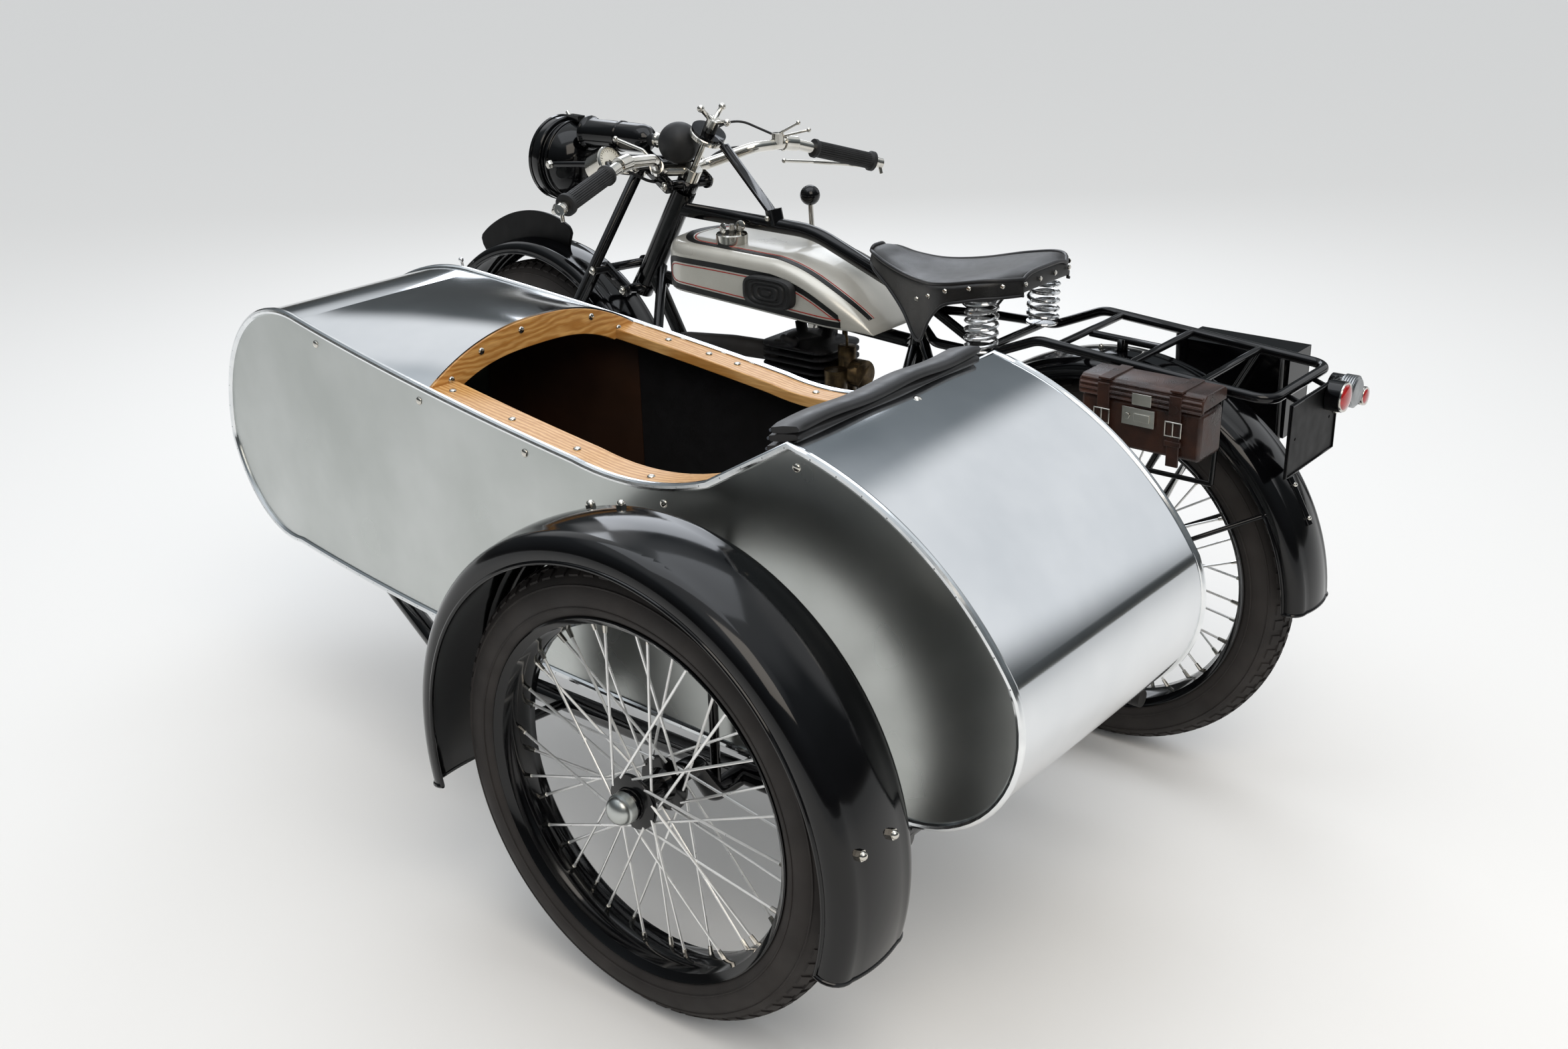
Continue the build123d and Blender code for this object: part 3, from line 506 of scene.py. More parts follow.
@cache
def finished(look: Look) -> bpy.types.Material:
    """Builds a plain finish: blotches of two colours, uneven gloss and a fine surface.

    Args:
        look: The finish.

    Returns:
        Its material, made once and shared.
    """
    mix = Mixture(look.name)
    place = mix.stretched(look.stretch)
    blotch = mix.noise(look.grain_mm, place)
    colour = mix.blend(mix.spread(blotch, 0.0, 1.0), linear(look.colour), linear(look.fleck))
    rough = mix.spread(mix.noise(look.grain_mm * 0.6, place, detail=1.0),
                       max(0.02, look.roughness - look.rough_spread),
                       look.roughness + look.rough_spread, 0.15, 0.85)
    normal = mix.bump(mix.noise(look.bump_grain_mm, place, look.bump_detail), look.bump_mm)
    return mix.shade(Base_Color=colour, Roughness=rough, Normal=normal, Metallic=look.metallic,
                     Coat_Weight=look.coat, Coat_Roughness=0.04, Sheen_Weight=look.sheen,
                     Specular_IOR_Level=look.specular)


# Cold-rolled aluminium sheet buffed to a mirror: it reflects clearly, with faint waves that
# the rollers left
POLISHED_SHEET = Look("buffed_aluminium_sheet", Slot.POLISHED_ALUMINIUM, "#E6E8EA", "#D8DBDE", 160,
                      1.0, 0.1, 0.03, 0.8, 210, 0.0)
# The same sheet rubbed with a fine pad: cloudy, with soft reflections
SATIN_SHEET = Look("rubbed_aluminium_sheet", Slot.POLISHED_ALUMINIUM, "#C6C9C7", "#B5B9B6", 190,
                   1.0, 0.3, 0.05, 0.4, 240, 0.0)
# Half-round aluminium strip, drawn and polished
BEAD_STRIP = Look("drawn_aluminium_strip", Slot.POLISHED_ALUMINIUM, "#F0F2F3", "#E2E5E7", 30, 1.0,
                  0.14, 0.04, 0.02, 4)
# Stoved black enamel: deep and glossy, a little uneven like brushed coats
BLACK_ENAMEL = Look("stoved_black_enamel", Slot.BLACK_ENAMEL, "#040405", "#08080A", 60, 0.0, 0.1,
                    0.04, 0.04, 40, 1.0, specular=0.4)
# Matt black paint of the number plates
PLATE_BLACK = Look("plate_black_paint", Slot.BLACK_ENAMEL, "#030304", "#070708", 40, 0.0, 0.45,
                   0.06, 0.02, 12, specular=0.15)
# Bright steel spokes, a little dull from polishing paste
SPOKE_WIRE = Look("polished_spokes", Slot.NICKEL, "#FBFBFA", "#ECECEA", 20, 0.78, 0.3, 0.05, 0.003,
                  3, 1.0)
# Ribbed aluminium cap of the tail lamp
DULL_ALLOY = Look("dull_aluminium", Slot.NICKEL, "#A9ABAC", "#8E9092", 14, 1.0, 0.36, 0.08, 0.02, 2)
# Nickel plate: a warm bright metal with light wear
NICKEL = Look("nickel_plate", Slot.NICKEL, "#DAD7D0", "#C9C5BC", 30, 1.0, 0.13, 0.04, 0.004, 3, 1.0)
# Chromed spring wire and spokes, brighter than the nickel
CHROME = Look("chromed_wire", Slot.NICKEL, "#F1F2F3", "#DDDFE0", 25, 0.9, 0.16, 0.05, 0.004, 3, 1.0)
# Black lining paint of the tank, brushed on
BAND_BLACK = Look("black_lining_paint", Slot.TANK_SILVER, "#060606", "#0C0C0C", 30, 0.0, 0.42, 0.06,
                  0.02, 6)
# Bright steel wire and screws
BRIGHT_STEEL = Look("drawn_steel", Slot.NICKEL, "#C9CBCC", "#AEB1B3", 10, 1.0, 0.24, 0.07, 0.01,
                    1.5)
# Cast aluminium with oil film
DARK_CASTING = Look("oiled_alloy_casting", Slot.ENGINE_ALLOY, "#5B5A56", "#3C3B38", 30, 1.0, 0.5,
                    0.1, 0.25, 2.2)
# Iron barrel, blacked
BLACK_IRON = Look("blacked_iron", Slot.CAST_IRON, "#17161A", "#0F0E10", 25, 0.4, 0.55, 0.1, 0.3,
                  2.0)
# Matt black of the hot exhaust, slightly brown
PIPE_BLACK = Look("heatproof_black", Slot.BLACK_PIPE, "#131110", "#1E1916", 45, 0.0, 0.62, 0.12,
                  0.12, 3.0)
# Brass and bronze castings of the carburettor, dulled
BRONZE = Look("dull_bronze", Slot.BRONZE, "#6B5A40", "#3A3128", 14, 1.0, 0.46, 0.1, 0.08, 1.5)
# Tyre rubber, brown-black and chalky where it is dry
TYRE_RUBBER = Look("dusty_tyre_rubber", Slot.TYRE_RUBBER, "#1F1B19", "#2A2522", 70, 0.0, 0.78, 0.1,
                   0.14, 2.4)
# Moulded black rubber of grips, pads and bulb
MOULDED_RUBBER = Look("moulded_rubber", Slot.BLACK_RUBBER, "#121212", "#1B1B1C", 30, 0.0, 0.6, 0.1,
                      0.06, 1.4)
# Black padded leathercloth: pebbled, softly shiny on its high places
LEATHERCLOTH = Look("black_leathercloth", Slot.BLACK_VINYL, "#0C0C0E", "#141417", 35, 0.0, 0.42,
                    0.1, 0.12, 1.7, sheen=0.1)
# Brown lining board behind the passenger's legs, matt with faint cloudy marks
LINING = Look("brown_lining_board", Slot.BROWN_LINING, "#3F2718", "#2B1A10", 120, 0.0, 0.62, 0.08,
              0.03, 3.0)
# Ribbed black rubber matting on the cockpit floor
MATTING = Look("rubber_matting", Slot.BLACK_VINYL, "#0D0D0D", "#171616", 50, 0.0, 0.7, 0.1, 0.1,
               2.0)
# Grey piping of the folded cover
PIPING = Look("grey_piping_cord", Slot.BLACK_VINYL, "#3B4048", "#4A505A", 20, 0.0, 0.5, 0.08, 0.06,
              1.2)
# Opal enamel of the dial
DIAL_WHITE = Look("dial_enamel", Slot.LAMP_GLASS, "#E9E6DA", "#DEDACB", 12, 0.0, 0.35, 0.05, 0.01,
                  2.0)
# Red glass of the tail lamps
RED_GLASS = Look("red_lamp_glass", Slot.LAMP_GLASS, "#B01414", "#8A0C0C", 8, 0.0, 0.12, 0.03, 0.02,
                 2.0, coat=1.0)
# Signal red, hand-lined
RED_LINE = Look("red_lining_paint", Slot.TANK_SILVER, "#A8291C", "#8E2016", 20, 0.0, 0.3, 0.06)


class Piece:
    """Turns drafts into finished objects and reports them."""

    @staticmethod
    def make(draft: Draft, name: str, *looks: Look | bpy.types.Material, body: Body = Body.FRAME,
             slot: Slot | None = None, replaces: Sequence[str] = (), crease_deg: float = 35.0,
             bevel_mm: float = 0.0) -> bpy.types.Object:
        """Makes a draft an object that rides on a body.

        Args:
            draft: The mesh, in millimetres of the drawing frame.
            name: The piece's name.
            *looks: Its finishes or materials, by the draft's tints.
            body: The body that carries it.
            slot: The record's material slot, or None for the first look's own.
            replaces: The solids that it stands for.
            crease_deg: Edges sharper than this stay sharp.
            bevel_mm: Width of a small bevel on its edges.

        Returns:
            The object.
        """
        mesh = draft.mesh(name)
        for look in looks:
            mesh.materials.append(finished(look) if isinstance(look, Look) else look)
        mesh.polygons.foreach_set("material_index", draft.tints)
        return Piece.settle(mesh, name, slot or looks[0].slot, body, replaces, crease_deg, bevel_mm)

    @staticmethod
    def settle(mesh: bpy.types.Mesh, name: str, slot: Slot, body: Body = Body.FRAME,
               replaces: Sequence[str] = (), crease_deg: float = 35.0, bevel_mm: float = 0.0,
               drawn: bool = True) -> bpy.types.Object:
        """Welds a mesh in metres, turns its faces outwards, shades it and lets it ride.

        Args:
            mesh: The mesh, with its materials.
            name: The piece's name.
            slot: The record's material slot; not used.
            body: The body that carries it.
            replaces: The solids that it stands for.
            crease_deg: Edges sharper than this stay sharp.
            bevel_mm: Width of a small bevel on its edges.
            drawn: Whether it is drawn straight ahead, and not already at rest like a solid's copy.

        Returns:
            The object.
        """
        work = bmesh.new()
        work.from_mesh(mesh)
        bmesh.ops.remove_doubles(work, verts=work.verts, dist=WELD_M)
        bmesh.ops.dissolve_degenerate(work, edges=work.edges, dist=SLIVER_M)
        bmesh.ops.recalc_face_normals(work, faces=work.faces)
        work.to_mesh(mesh)
        work.free()
        if drawn and body.turned:
            mesh.transform(steered())
        mesh.shade_smooth()
        mesh.set_sharp_from_angle(angle=math.radians(crease_deg))
        piece = linked(name, mesh)
        if bevel_mm:
            bevel = piece.modifiers.new("edge", "BEVEL")
            bevel.width, bevel.segments, bevel.limit_method = bevel_mm / 1000, 2, "ANGLE"
            bevel.harden_normals = False
        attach(piece, body.value)
        if replaces:
            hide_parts(*replaces)
        log.info("%s: %d faces on %s", name, len(mesh.polygons), body.value)
        return piece

    @staticmethod
    def pad(piece: bpy.types.Object, fill: float) -> None:
        soft = piece.modifiers.new("soft", "SUBSURF")
        soft.levels = soft.render_levels = 2


class Repeat:
    """Geometry Nodes trees for what repeats: round an axle or along a path."""

    @staticmethod
    def tree(name: str, inputs: Sequence[tuple[str, str, object]]) -> Graph:
        """Starts a tree with named inputs.

        Args:
            name: The tree's name.
            inputs: (name, socket type, default) for each input after the geometry.

        Returns:
            The tree, to be filled with nodes.
        """
        tree = bpy.data.node_groups.new(name, "GeometryNodeTree")
        for label, kind, default in (("Geometry", "NodeSocketGeometry", None), *inputs):
            socket = tree.interface.new_socket(label, in_out="INPUT", socket_type=kind)
            if default is not None:
                socket.default_value = default
        tree.interface.new_socket("Geometry", in_out="OUTPUT", socket_type="NodeSocketGeometry")
        return Graph(tree)

    @staticmethod
    def close(graph: Graph, row: bpy.types.Node, look: bpy.types.NodeSocket) -> bpy.types.NodeTree:
        """Ends a tree: its instances turned into real geometry, in their material."""
        real = graph.node("GeometryNodeRealizeInstances", Geometry=row.outputs[0])
        done = graph.node("GeometryNodeSetMaterial", Geometry=real.outputs[0], Material=look)
        graph.node("NodeGroupOutput", Geometry=done.outputs[0])
        return graph.tree

    @staticmethod
    @cache
    def round_tree() -> bpy.types.NodeTree:
        """Repeats the input in even turns about an axle that lies along Y."""
        graph = Repeat.tree("repeat_round_axle", [
            ("Count", "NodeSocketInt", 12), ("Turn", "NodeSocketFloat", 0.5),
            ("Centre", "NodeSocketVector", (0, 0, 0)), ("Look", "NodeSocketMaterial", None)])
        node = graph.node
        given = node("NodeGroupInput").outputs
        back = node("ShaderNodeVectorMath", {"operation": "SCALE"}, n0=given["Centre"], Scale=-1.0)
        homed = node("GeometryNodeTransform", Geometry=given["Geometry"],
                     Translation=back.outputs[0])
        points = node("GeometryNodeMeshLine", Count=given["Count"], Start_Location=given["Centre"],
                      Offset=(0.0, 0.0, 0.0))
        index = node("GeometryNodeInputIndex").outputs[0]
        turn = node("ShaderNodeMath", {"operation": "MULTIPLY"}, n0=index, n1=given["Turn"])
        spin = node("ShaderNodeCombineXYZ", Y=turn.outputs[0])
        row = node("GeometryNodeInstanceOnPoints", Points=points.outputs[0],
                   Instance=homed.outputs[0], Rotation=spin.outputs[0])
        return Repeat.close(graph, row, given["Look"])

    @staticmethod
    @cache
    def path_tree() -> bpy.types.NodeTree:
        """Sets a shape at even spacing along the input's edges, pointing where Aim says."""
        graph = Repeat.tree("repeat_along_path", [
            ("Spacing", "NodeSocketFloat", 0.03), ("Aim", "NodeSocketVector", (0, 1, 0)),
            ("Shape", "NodeSocketObject", None), ("Look", "NodeSocketMaterial", None)])
        node = graph.node
        given = node("NodeGroupInput").outputs
        line = node("GeometryNodeMeshToCurve", Mesh=given["Geometry"])
        points = node("GeometryNodeCurveToPoints", {"mode": "LENGTH"}, Curve=line.outputs[0],
                      Length=given["Spacing"])
        facing = node("FunctionNodeAlignRotationToVector", {"axis": "Z"}, Vector=given["Aim"])
        along = node("FunctionNodeAlignRotationToVector", {"axis": "X", "pivot_axis": "Z"},
                     Rotation=facing.outputs[0], Vector=points.outputs["Tangent"])
        shape = node("GeometryNodeObjectInfo", Object=given["Shape"])
        row = node("GeometryNodeInstanceOnPoints", Points=points.outputs[0],
                   Instance=shape.outputs["Geometry"], Rotation=along.outputs[0])
        return Repeat.close(graph, row, given["Look"])

    @staticmethod
    def run(mesh: bpy.types.Mesh, tree: bpy.types.NodeTree,
            values: dict[str, object]) -> bpy.types.Mesh:
        """Runs a tree on a mesh.

        Args:
            mesh: What the tree repeats or follows.
            tree: The tree.
            values: Its inputs by name.

        Returns:
            The result as a plain mesh.
        """
        seed = linked(tree.name, mesh)
        modifier = seed.modifiers.new(tree.name, "NODES")
        modifier.node_group = tree
        for item in tree.interface.items_tree:
            if item.in_out == "INPUT" and item.name in values:
                modifier[item.identifier] = values[item.name]
        shown = seed.evaluated_get(bpy.context.evaluated_depsgraph_get())
        made = bpy.data.meshes.new_from_object(shown)
        bpy.data.objects.remove(seed)
        return made

    @staticmethod
    def about_axle(draft: Draft, axle: Spot, count: int,
                   look: bpy.types.Material) -> bpy.types.Mesh:
        """Repeats a draft in even turns about an axle that lies along Y.

        Args:
            draft: What repeats.
            axle: The axle's spot.
            count: How many.
            look: Its material.

        Returns:
            The mesh.
        """
        values = {"Count": count, "Turn": math.tau / count, "Centre": place(*axle)[:],
                  "Look": look}
        return Repeat.run(draft.mesh("seed"), Repeat.round_tree(), values)

    @staticmethod
    def along(path: Sequence[Sequence[float]], spacing: float, aim: Spot, shape: Draft,
              look: bpy.types.Material) -> bpy.types.Mesh:
        """Sets a small shape, drawn about (0, 0, 0), along a path: Z to the aim, X forward."""
        line = bpy.data.meshes.new("path")
        line.from_pydata([place(*p) for p in path], [(i, i + 1) for i in range(len(path) - 1)], [])
        unit = linked("unit", shape.mesh("form", placed=False))
        values = {"Spacing": spacing / 1000, "Aim": aim, "Shape": unit, "Look": look}
        made = Repeat.run(line, Repeat.path_tree(), values)
        bpy.data.objects.remove(unit)
        return made


def dome(radius: float, rise: float, steps: int) -> Draft:
    """A small round head that stands on (0, 0, 0) and points up."""
    turns = [math.pi / 2 * k / 4 for k in range(5)]
    profile = [(radius, -rise), *((radius * math.cos(t), rise * math.sin(t)) for t in turns)]
    profile[-1] = (0.0, rise)
    return Draft().lathe(profile, (0, 0, 0), (0, 0, 1), steps)


def dome_nut(radius: float) -> Draft:
    """A hexagon nut with a domed cap, pointing up."""
    nut = Draft().lathe([(0, -1), (radius, -1), (radius, radius * 0.7), (0, radius * 0.7)],
                        (0, 0, 0), (0, 0, 1), 6)
    turns = [math.pi / 2 * k / 5 for k in range(6)]
    cap = [(radius * 0.8 * math.cos(t), radius * (0.7 + 0.75 * math.sin(t))) for t in turns]
    return nut.lathe(cap, (0, 0, 0), (0, 0, 1), 14)


@dataclass
class Chain:
    """The roller chain from the gearbox to the rear wheel. Sizes in millimetres."""

    gearbox: Flat = (455.0, 325.0)
    small_r: float = 38.5
    big_r: float = 93.5
    y: float = 59.0
    pitch: float = 15.875

    def path(self) -> list[Vector]:
        """The rollers' line: two arcs and two straight runs."""
        (x, z), rise = self.gearbox, WHEEL_R - self.gearbox[1]
        span, lean = math.hypot(x, rise), math.atan2(-rise, x)
        open_turn = math.acos((self.small_r - self.big_r) / span)
        spots = []
        for (cx, cz, r), start, end in (((x, z, self.small_r), -open_turn, open_turn),
                                        ((0, WHEEL_R, self.big_r), open_turn,
                                         math.tau - open_turn)):
            for k in range(25):
                turn = lean + start + (end - start) * k / 24
                spots.append(Vector((cx + r * math.cos(turn), self.y, cz + r * math.sin(turn))))
        return spots

    def link(self) -> Draft:
        """One pitch: two waisted plates and a roller."""
        half, wide = self.pitch / 2, self.pitch * 0.27
        draft = Draft()
        outline = []
        for middle, start in ((half, -90), (-half, 90)):
            for k in range(7):
                turn = math.radians(start + 180 * k / 6)
                outline.append((middle + wide * math.cos(turn), wide * math.sin(turn)))
            outline.append((0.0, math.copysign(wide * 0.62, -start)))
        for side in (-3.9, 2.9):
            draft.slab([(a, b, side) for a, b in outline], (0, 0, 1.0))
        draft.rod((-half, 0, -4.6), (-half, 0, 4.6), 2.0, sides=10)
        return draft.rod((-half, 0, -2.7), (-half, 0, 2.7), 4.2, sides=12)

    def build(self) -> None:
        """Builds the chain."""
        path = self.path()
        loop = [*path, path[0]]
        length = sum((b - a).length for a, b in zip(loop, loop[1:]))
        made = Repeat.along(loop, length / round(length / self.pitch), (0, 1, 0), self.link(),
                            finished(BRIGHT_STEEL))
        Piece.settle(made, "drive_chain_links", Slot.CHAIN_STEEL, replaces=["drive_chain"])


@dataclass
class CadFinish:
    """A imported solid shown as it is, welded and smooth, in its finish."""

    node: str
    look: Look
    body: Body = Body.FRAME
    slot: Slot | None = None
    crease_deg: float = 30.0
    back_x: float | None = None

    def build(self, gone: Callable[[Vector], bool] | None = None) -> None:
        """Makes a welded copy of the solid, which ends at back_x if that is given.

        Args:
            gone: Tells whether a corner belongs to a part that another piece stands for.
        """
        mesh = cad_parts[self.node].data.copy()
        if self.back_x is not None:
            for vert in mesh.vertices:
                vert.co.x = max(vert.co.x, place(self.back_x, 0, 0).x)
        if gone is not None:
            work = bmesh.new()
            work.from_mesh(mesh)
            bmesh.ops.remove_doubles(work, verts=work.verts, dist=WELD_M)
            faces = [face for face in work.faces if all(gone(vert.co) for vert in face.verts)]
            bmesh.ops.delete(work, geom=faces, context="FACES")
            work.to_mesh(mesh)
            work.free()
        mesh.materials.clear()
        mesh.materials.append(finished(self.look))
        Piece.settle(mesh, f"{self.node}_shown", self.slot or self.look.slot, self.body,
                     [self.node], self.crease_deg, drawn=False)


@dataclass
class SidecarBody:
    """Panels, wraps, beads, wood, lining and cushions of the sidecar. Sizes in millimetres."""

    mid_y: float = 645.0
    half: float = 240.0
    bend_x: float = 350.0
    bend_r: float = 5330.0
    wall: float = 12.0
    skin: float = 3.0
    bow_x: float = 700.0
    bow_thick: float = 20.0
    bow_rise: float = 64.0
    bow_deep: float = 46.0
    deck_end_x: float = 1055.0
    split_x: float = 400.0
    nose_top: Bend = ((1060, 778), (1296, 702), (1376, 500))
    nose_low: Bend = ((1150, 360), (1318, 408), (1376, 500))
    tail_top: Bend = ((-341, 563), (-205, 711), (-8, 798))
    tail_low: Bend = ((-341, 563), (-321, 392), (-185, 322))
    elbow: Flat = (380, 695)
    rail_wide: float = 54.0
    bead_r: float = 6.0

    def fall(self, x: float) -> float:
        """How far the side has bent in at x."""
        reach = max(0.0, x - self.bend_x)
        return self.bend_r - math.sqrt(self.bend_r ** 2 - reach ** 2)

    def side_y(self, x: float, side: int, inset: float = 0.0) -> float:
        """Y of the near (1) or far (-1) panel's outer face at x, set in by inset."""
        return self.mid_y + side * (self.half - self.fall(x) - inset)

    @staticmethod
    def straight(start: Flat, end: Flat, x: float) -> float:
        """Height at x of the line through two spots."""
        return start[1] + (end[1] - start[1]) * (x - start[0]) / (end[0] - start[0])

    def top_z(self, x: float) -> float:
        """Height of the panel's straight top edge."""
        return self.straight(self.elbow, self.nose_top[0], x)

    def belly_z(self, x: float) -> float:
        """Height of the straight underside."""
        return self.straight(self.tail_low[-1], self.nose_low[0], x)

    def upper(self) -> list[Flat]:
        """The outline's top, from the tail's rearmost spot to the nose's foremost."""
        line = arc(*self.tail_top, 22)
        line += [self.tail_top[-1], *arc((130, 716), (250, 688), self.elbow, 12)]
        line += [(x, self.top_z(x)) for x in range(380, 1060, 40)]
        return line + arc(*self.nose_top, 30) + [self.nose_top[-1]]

    def lower(self) -> list[Flat]:
        """The outline's underside, from the same two spots."""
        line = arc(*self.tail_low, 18)
        line += [(x, self.belly_z(x)) for x in range(-185, 1150, 89)]
        return line + arc(*self.nose_low, 14) + [self.nose_low[-1]]

    @staticmethod
    def height(line: Sequence[Flat], x: float) -> float:
        """Height at x of a line whose spots don't run back over each other."""
        for a, b in zip(line, line[1:]):
            if min(a[0], b[0]) <= x <= max(a[0], b[0]) and a[0] != b[0]:
                return SidecarBody.straight(a, b, x)
        return line[0][1] if abs(x - line[0][0]) < abs(x - line[-1][0]) else line[-1][1]

    def outline(self) -> list[Flat]:
        """The whole outline as a closed loop of spots."""
        return self.upper() + list(reversed(self.lower()))[1:-1]

    def build_panels(self) -> None:
        """The two side panels, skinned between their upper and lower outlines."""
        pairs = list(zip(evenly(self.upper(), 160), evenly(self.lower(), 160)))
        for side, node in ((1, "outer_side_panel"), (-1, "inner_side_panel")):
            rings = []
            for high, low in pairs[1:-1]:
                outer = [(x, self.side_y(x, side), z) for x, z in (low, high)]
                inner = [(x, self.side_y(x, side, self.wall), z) for x, z in (high, low)]
                rings.append(outer + inner)
            Piece.make(Draft().rings(rings), f"{node}_skin", SATIN_SHEET, replaces=[node])

    def wrap(self, path: Sequence[Flat]) -> Draft:
        """A sheet bent across the body along a run of outline spots."""
        rings = []
        for k, (x, z) in enumerate(path):
            before, after = path[max(0, k - 1)], path[min(len(path) - 1, k + 1)]
            along = Vector((after[0] - before[0], 0, after[1] - before[1])).normalized()
            out = Vector((-along.z, 0, along.x))
            ys = [self.side_y(x, side, 2.0) for side in (1, -1)]
            top = [Vector((x, y, z)) + out * 1.0 for y in ys]
            rings.append([*top, *(spot - out * self.skin for spot in reversed(top))])
        return Draft().rings(rings)

    def build_wraps(self) -> None:
        """The nose and belly sheet and the tail sheet."""
        nose = [(1055, 777.4), *arc(*self.nose_top, 48), *arc(*reversed(self.nose_low), 30)]
        nose += [(x, self.belly_z(x)) for x in (1150, 900, 650, self.split_x + 0.5)]
        tail = [(self.split_x - 0.5, 338.6), (110, 330.4), *arc(*reversed(self.tail_low), 30)]
        tail += [*arc(*self.tail_top, 44), self.tail_top[-1]]
        for name, path in (("nose_and_belly", nose), ("tail_wrap", list(reversed(tail)))):
            Piece.make(self.wrap(path), f"{name}_sheet", POLISHED_SHEET, replaces=[name])

    def arch(self, x: float, rise: float, drop: float, inset: float,
             power: float = 2.3) -> list[Spot]:
        """Spots across the body at x on an arch over the panel's top edge."""
        spots, steps = [], 40
        for k in range(steps + 1):
            v = -1 + 2 * k / steps
            y = self.mid_y + v * (self.half - self.fall(x) - inset)
            spots.append((x, y, self.top_z(x) - drop + rise * (1 - abs(v) ** power)))
        return spots

    def build_deck(self) -> None:
        """The nose deck: arched at the bow, flat where it meets the nose."""
        rings = []
        for k in range(13):
            x = self.bow_x + 2 + (self.deck_end_x + 4 - self.bow_x - 2) * k / 12
            rise = self.bow_rise + (1.0 - self.bow_rise) * k / 12
            top = self.arch(x, rise, -2.0, 1.5)
            low = [(a, b, c - self.skin) for a, b, c in reversed(top)]
            rings.append(top + low)
        Piece.make(Draft().rings(rings), "nose_deck_sheet", POLISHED_SHEET, replaces=["nose_deck"])

    def build_beads(self) -> None:
        """The bright half-round beads round both panels, with their pins."""
        pins = []
        for side in (1, -1):
            path = [(x, self.side_y(x, side) - side * 0.5, z) for x, z in self.outline()]
            draft = Draft().tube(path, self.bead_r, 10, closed=True)
            Piece.make(draft, f"edge_bead_{'near' if side > 0 else 'far'}", BEAD_STRIP)
            line = [(x, y + side * (self.bead_r - 1.2), z) for x, y, z in path]
            pins.append((line, (0, side, 0)))
        for k, (line, aim) in enumerate(pins):
            made = Repeat.along([*line, line[0]], 42, aim, dome(1.7, 1.3, 8),
                                finished(BRIGHT_STEEL))
            Piece.settle(made, f"bead_pins_{k}", Slot.NICKEL)

    def build_wood(self) -> None:
        """The plywood bow and the two rails."""
        outer = self.arch(self.bow_x, self.bow_rise, 0.5, 2.0)
        inner = self.arch(self.bow_x, self.bow_rise - self.bow_deep + 17, 17, self.rail_wide,
                          power=2.8)
        rings = [[o, i, (i[0] + self.bow_thick, *i[1:]), (o[0] + self.bow_thick, *o[1:])]
                 for o, i in zip(outer, inner)]
        Piece.make(Draft().rings(rings), "cockpit_bow_board", plywood(), slot=Slot.PLYWOOD,
                   replaces=["cockpit_bow"], bevel_mm=1.0)
        rails = Draft()
        top = self.upper()
        for side, wide in ((1, self.rail_wide), (-1, self.rail_wide - 8)):
            rings = []
            for k in range(61):
                x = 2 + (self.bow_x + 2 - 2) * k / 60
                z = self.height(top, x) + 1.5
                near = self.side_y(x, side, 4.0)
                deep = wide * min(1.0, 0.5 + (x - 2) / 120)
                far = self.side_y(x, side, 4.0 + deep)
                rings.append([(x, near, z), (x, far, z), (x, far, z - 18), (x, near, z - 18)])
            rails.rings(rings)
        Piece.make(rails, "cockpit_rail_boards", ash(), slot=Slot.ASH_WOOD,
                   replaces=["cockpit_rails"], bevel_mm=1.5)

    def build_inside(self) -> None:
        """Lining, matting, cushions and the folded roll."""
        lining = Draft()
        for side in (1, -1):
            for start, end, tint in ((4, 684, 1), (686, 1036, 0)):
                lining.tint = tint
                rings = []
                for k in range(13):
                    x = start + (end - start) * k / 12
                    high = self.height(self.upper(), x) - 17
                    ys = [self.side_y(x, side, self.wall + inset) for inset in (0.2, 4.0)]
                    rings.append([(x, ys[0], 352), (x, ys[0], high), (x, ys[1], high),
                                  (x, ys[1], 352)])
                lining.rings(rings)
        Piece.make(lining, "side_lining", LINING, LEATHERCLOTH, replaces=["cockpit_lining"])
        self.folded_cover()
        for node, name in (("seat_cushion", "seat_cushion_pad"), ("seat_back", "seat_back_pad")):
            self.cushion(node, name)
        CadFinish("floor_board", MATTING).build()

    def folded_cover(self) -> None:
        """The folded cover along the seat back: three layers of leathercloth with piped edges."""
        half = self.half - self.wall - 6
        cloth, piping = Draft(), Draft()
        for lift, lean, wide, slack in ((0.0, 0.0, 48.0, 2.0), (14.0, 3.0, 47.0, 3.0),
                                        (28.0, 7.0, 45.0, 4.0)):
            rings, front = [], []
            for k in range(33):
                v = -1 + 2 * k / 32
                y = self.mid_y + (half if v > 0 else half - 26) * v
                sag = slack * math.sin(7 * v + lift) * 0.5
                edge = 1.0 if abs(v) > 0.97 else 0.0
                x0, z0 = 40 - lean, 778 + lift + sag
                turn = math.radians(24)
                ring = []
                for a, b in ((0, -3.5), (-wide * 0.5, -4.2), (-wide, -3), (-wide - 3, 0),
                             (-wide, 3.4), (-wide * 0.5, 4.6), (0, 3.6), (3, 0)):
                    b *= 1.75 * (1 - 0.35 * edge)
                    ring.append((x0 + a * math.cos(turn) + b * math.sin(turn), y,
                                 z0 - a * math.sin(turn) * 0.5 + b * math.cos(turn)))
                rings.append(ring)
                front.append((ring[7][0] + 0.6, y, ring[7][2]))
            cloth.rings(rings)
            piping.tube(front, 2.1, 8)
        cover = Piece.make(cloth, "folded_cover", LEATHERCLOTH, replaces=["cockpit_roll"],
                           crease_deg=60)
        Piece.make(piping, "cover_piping", PIPING)

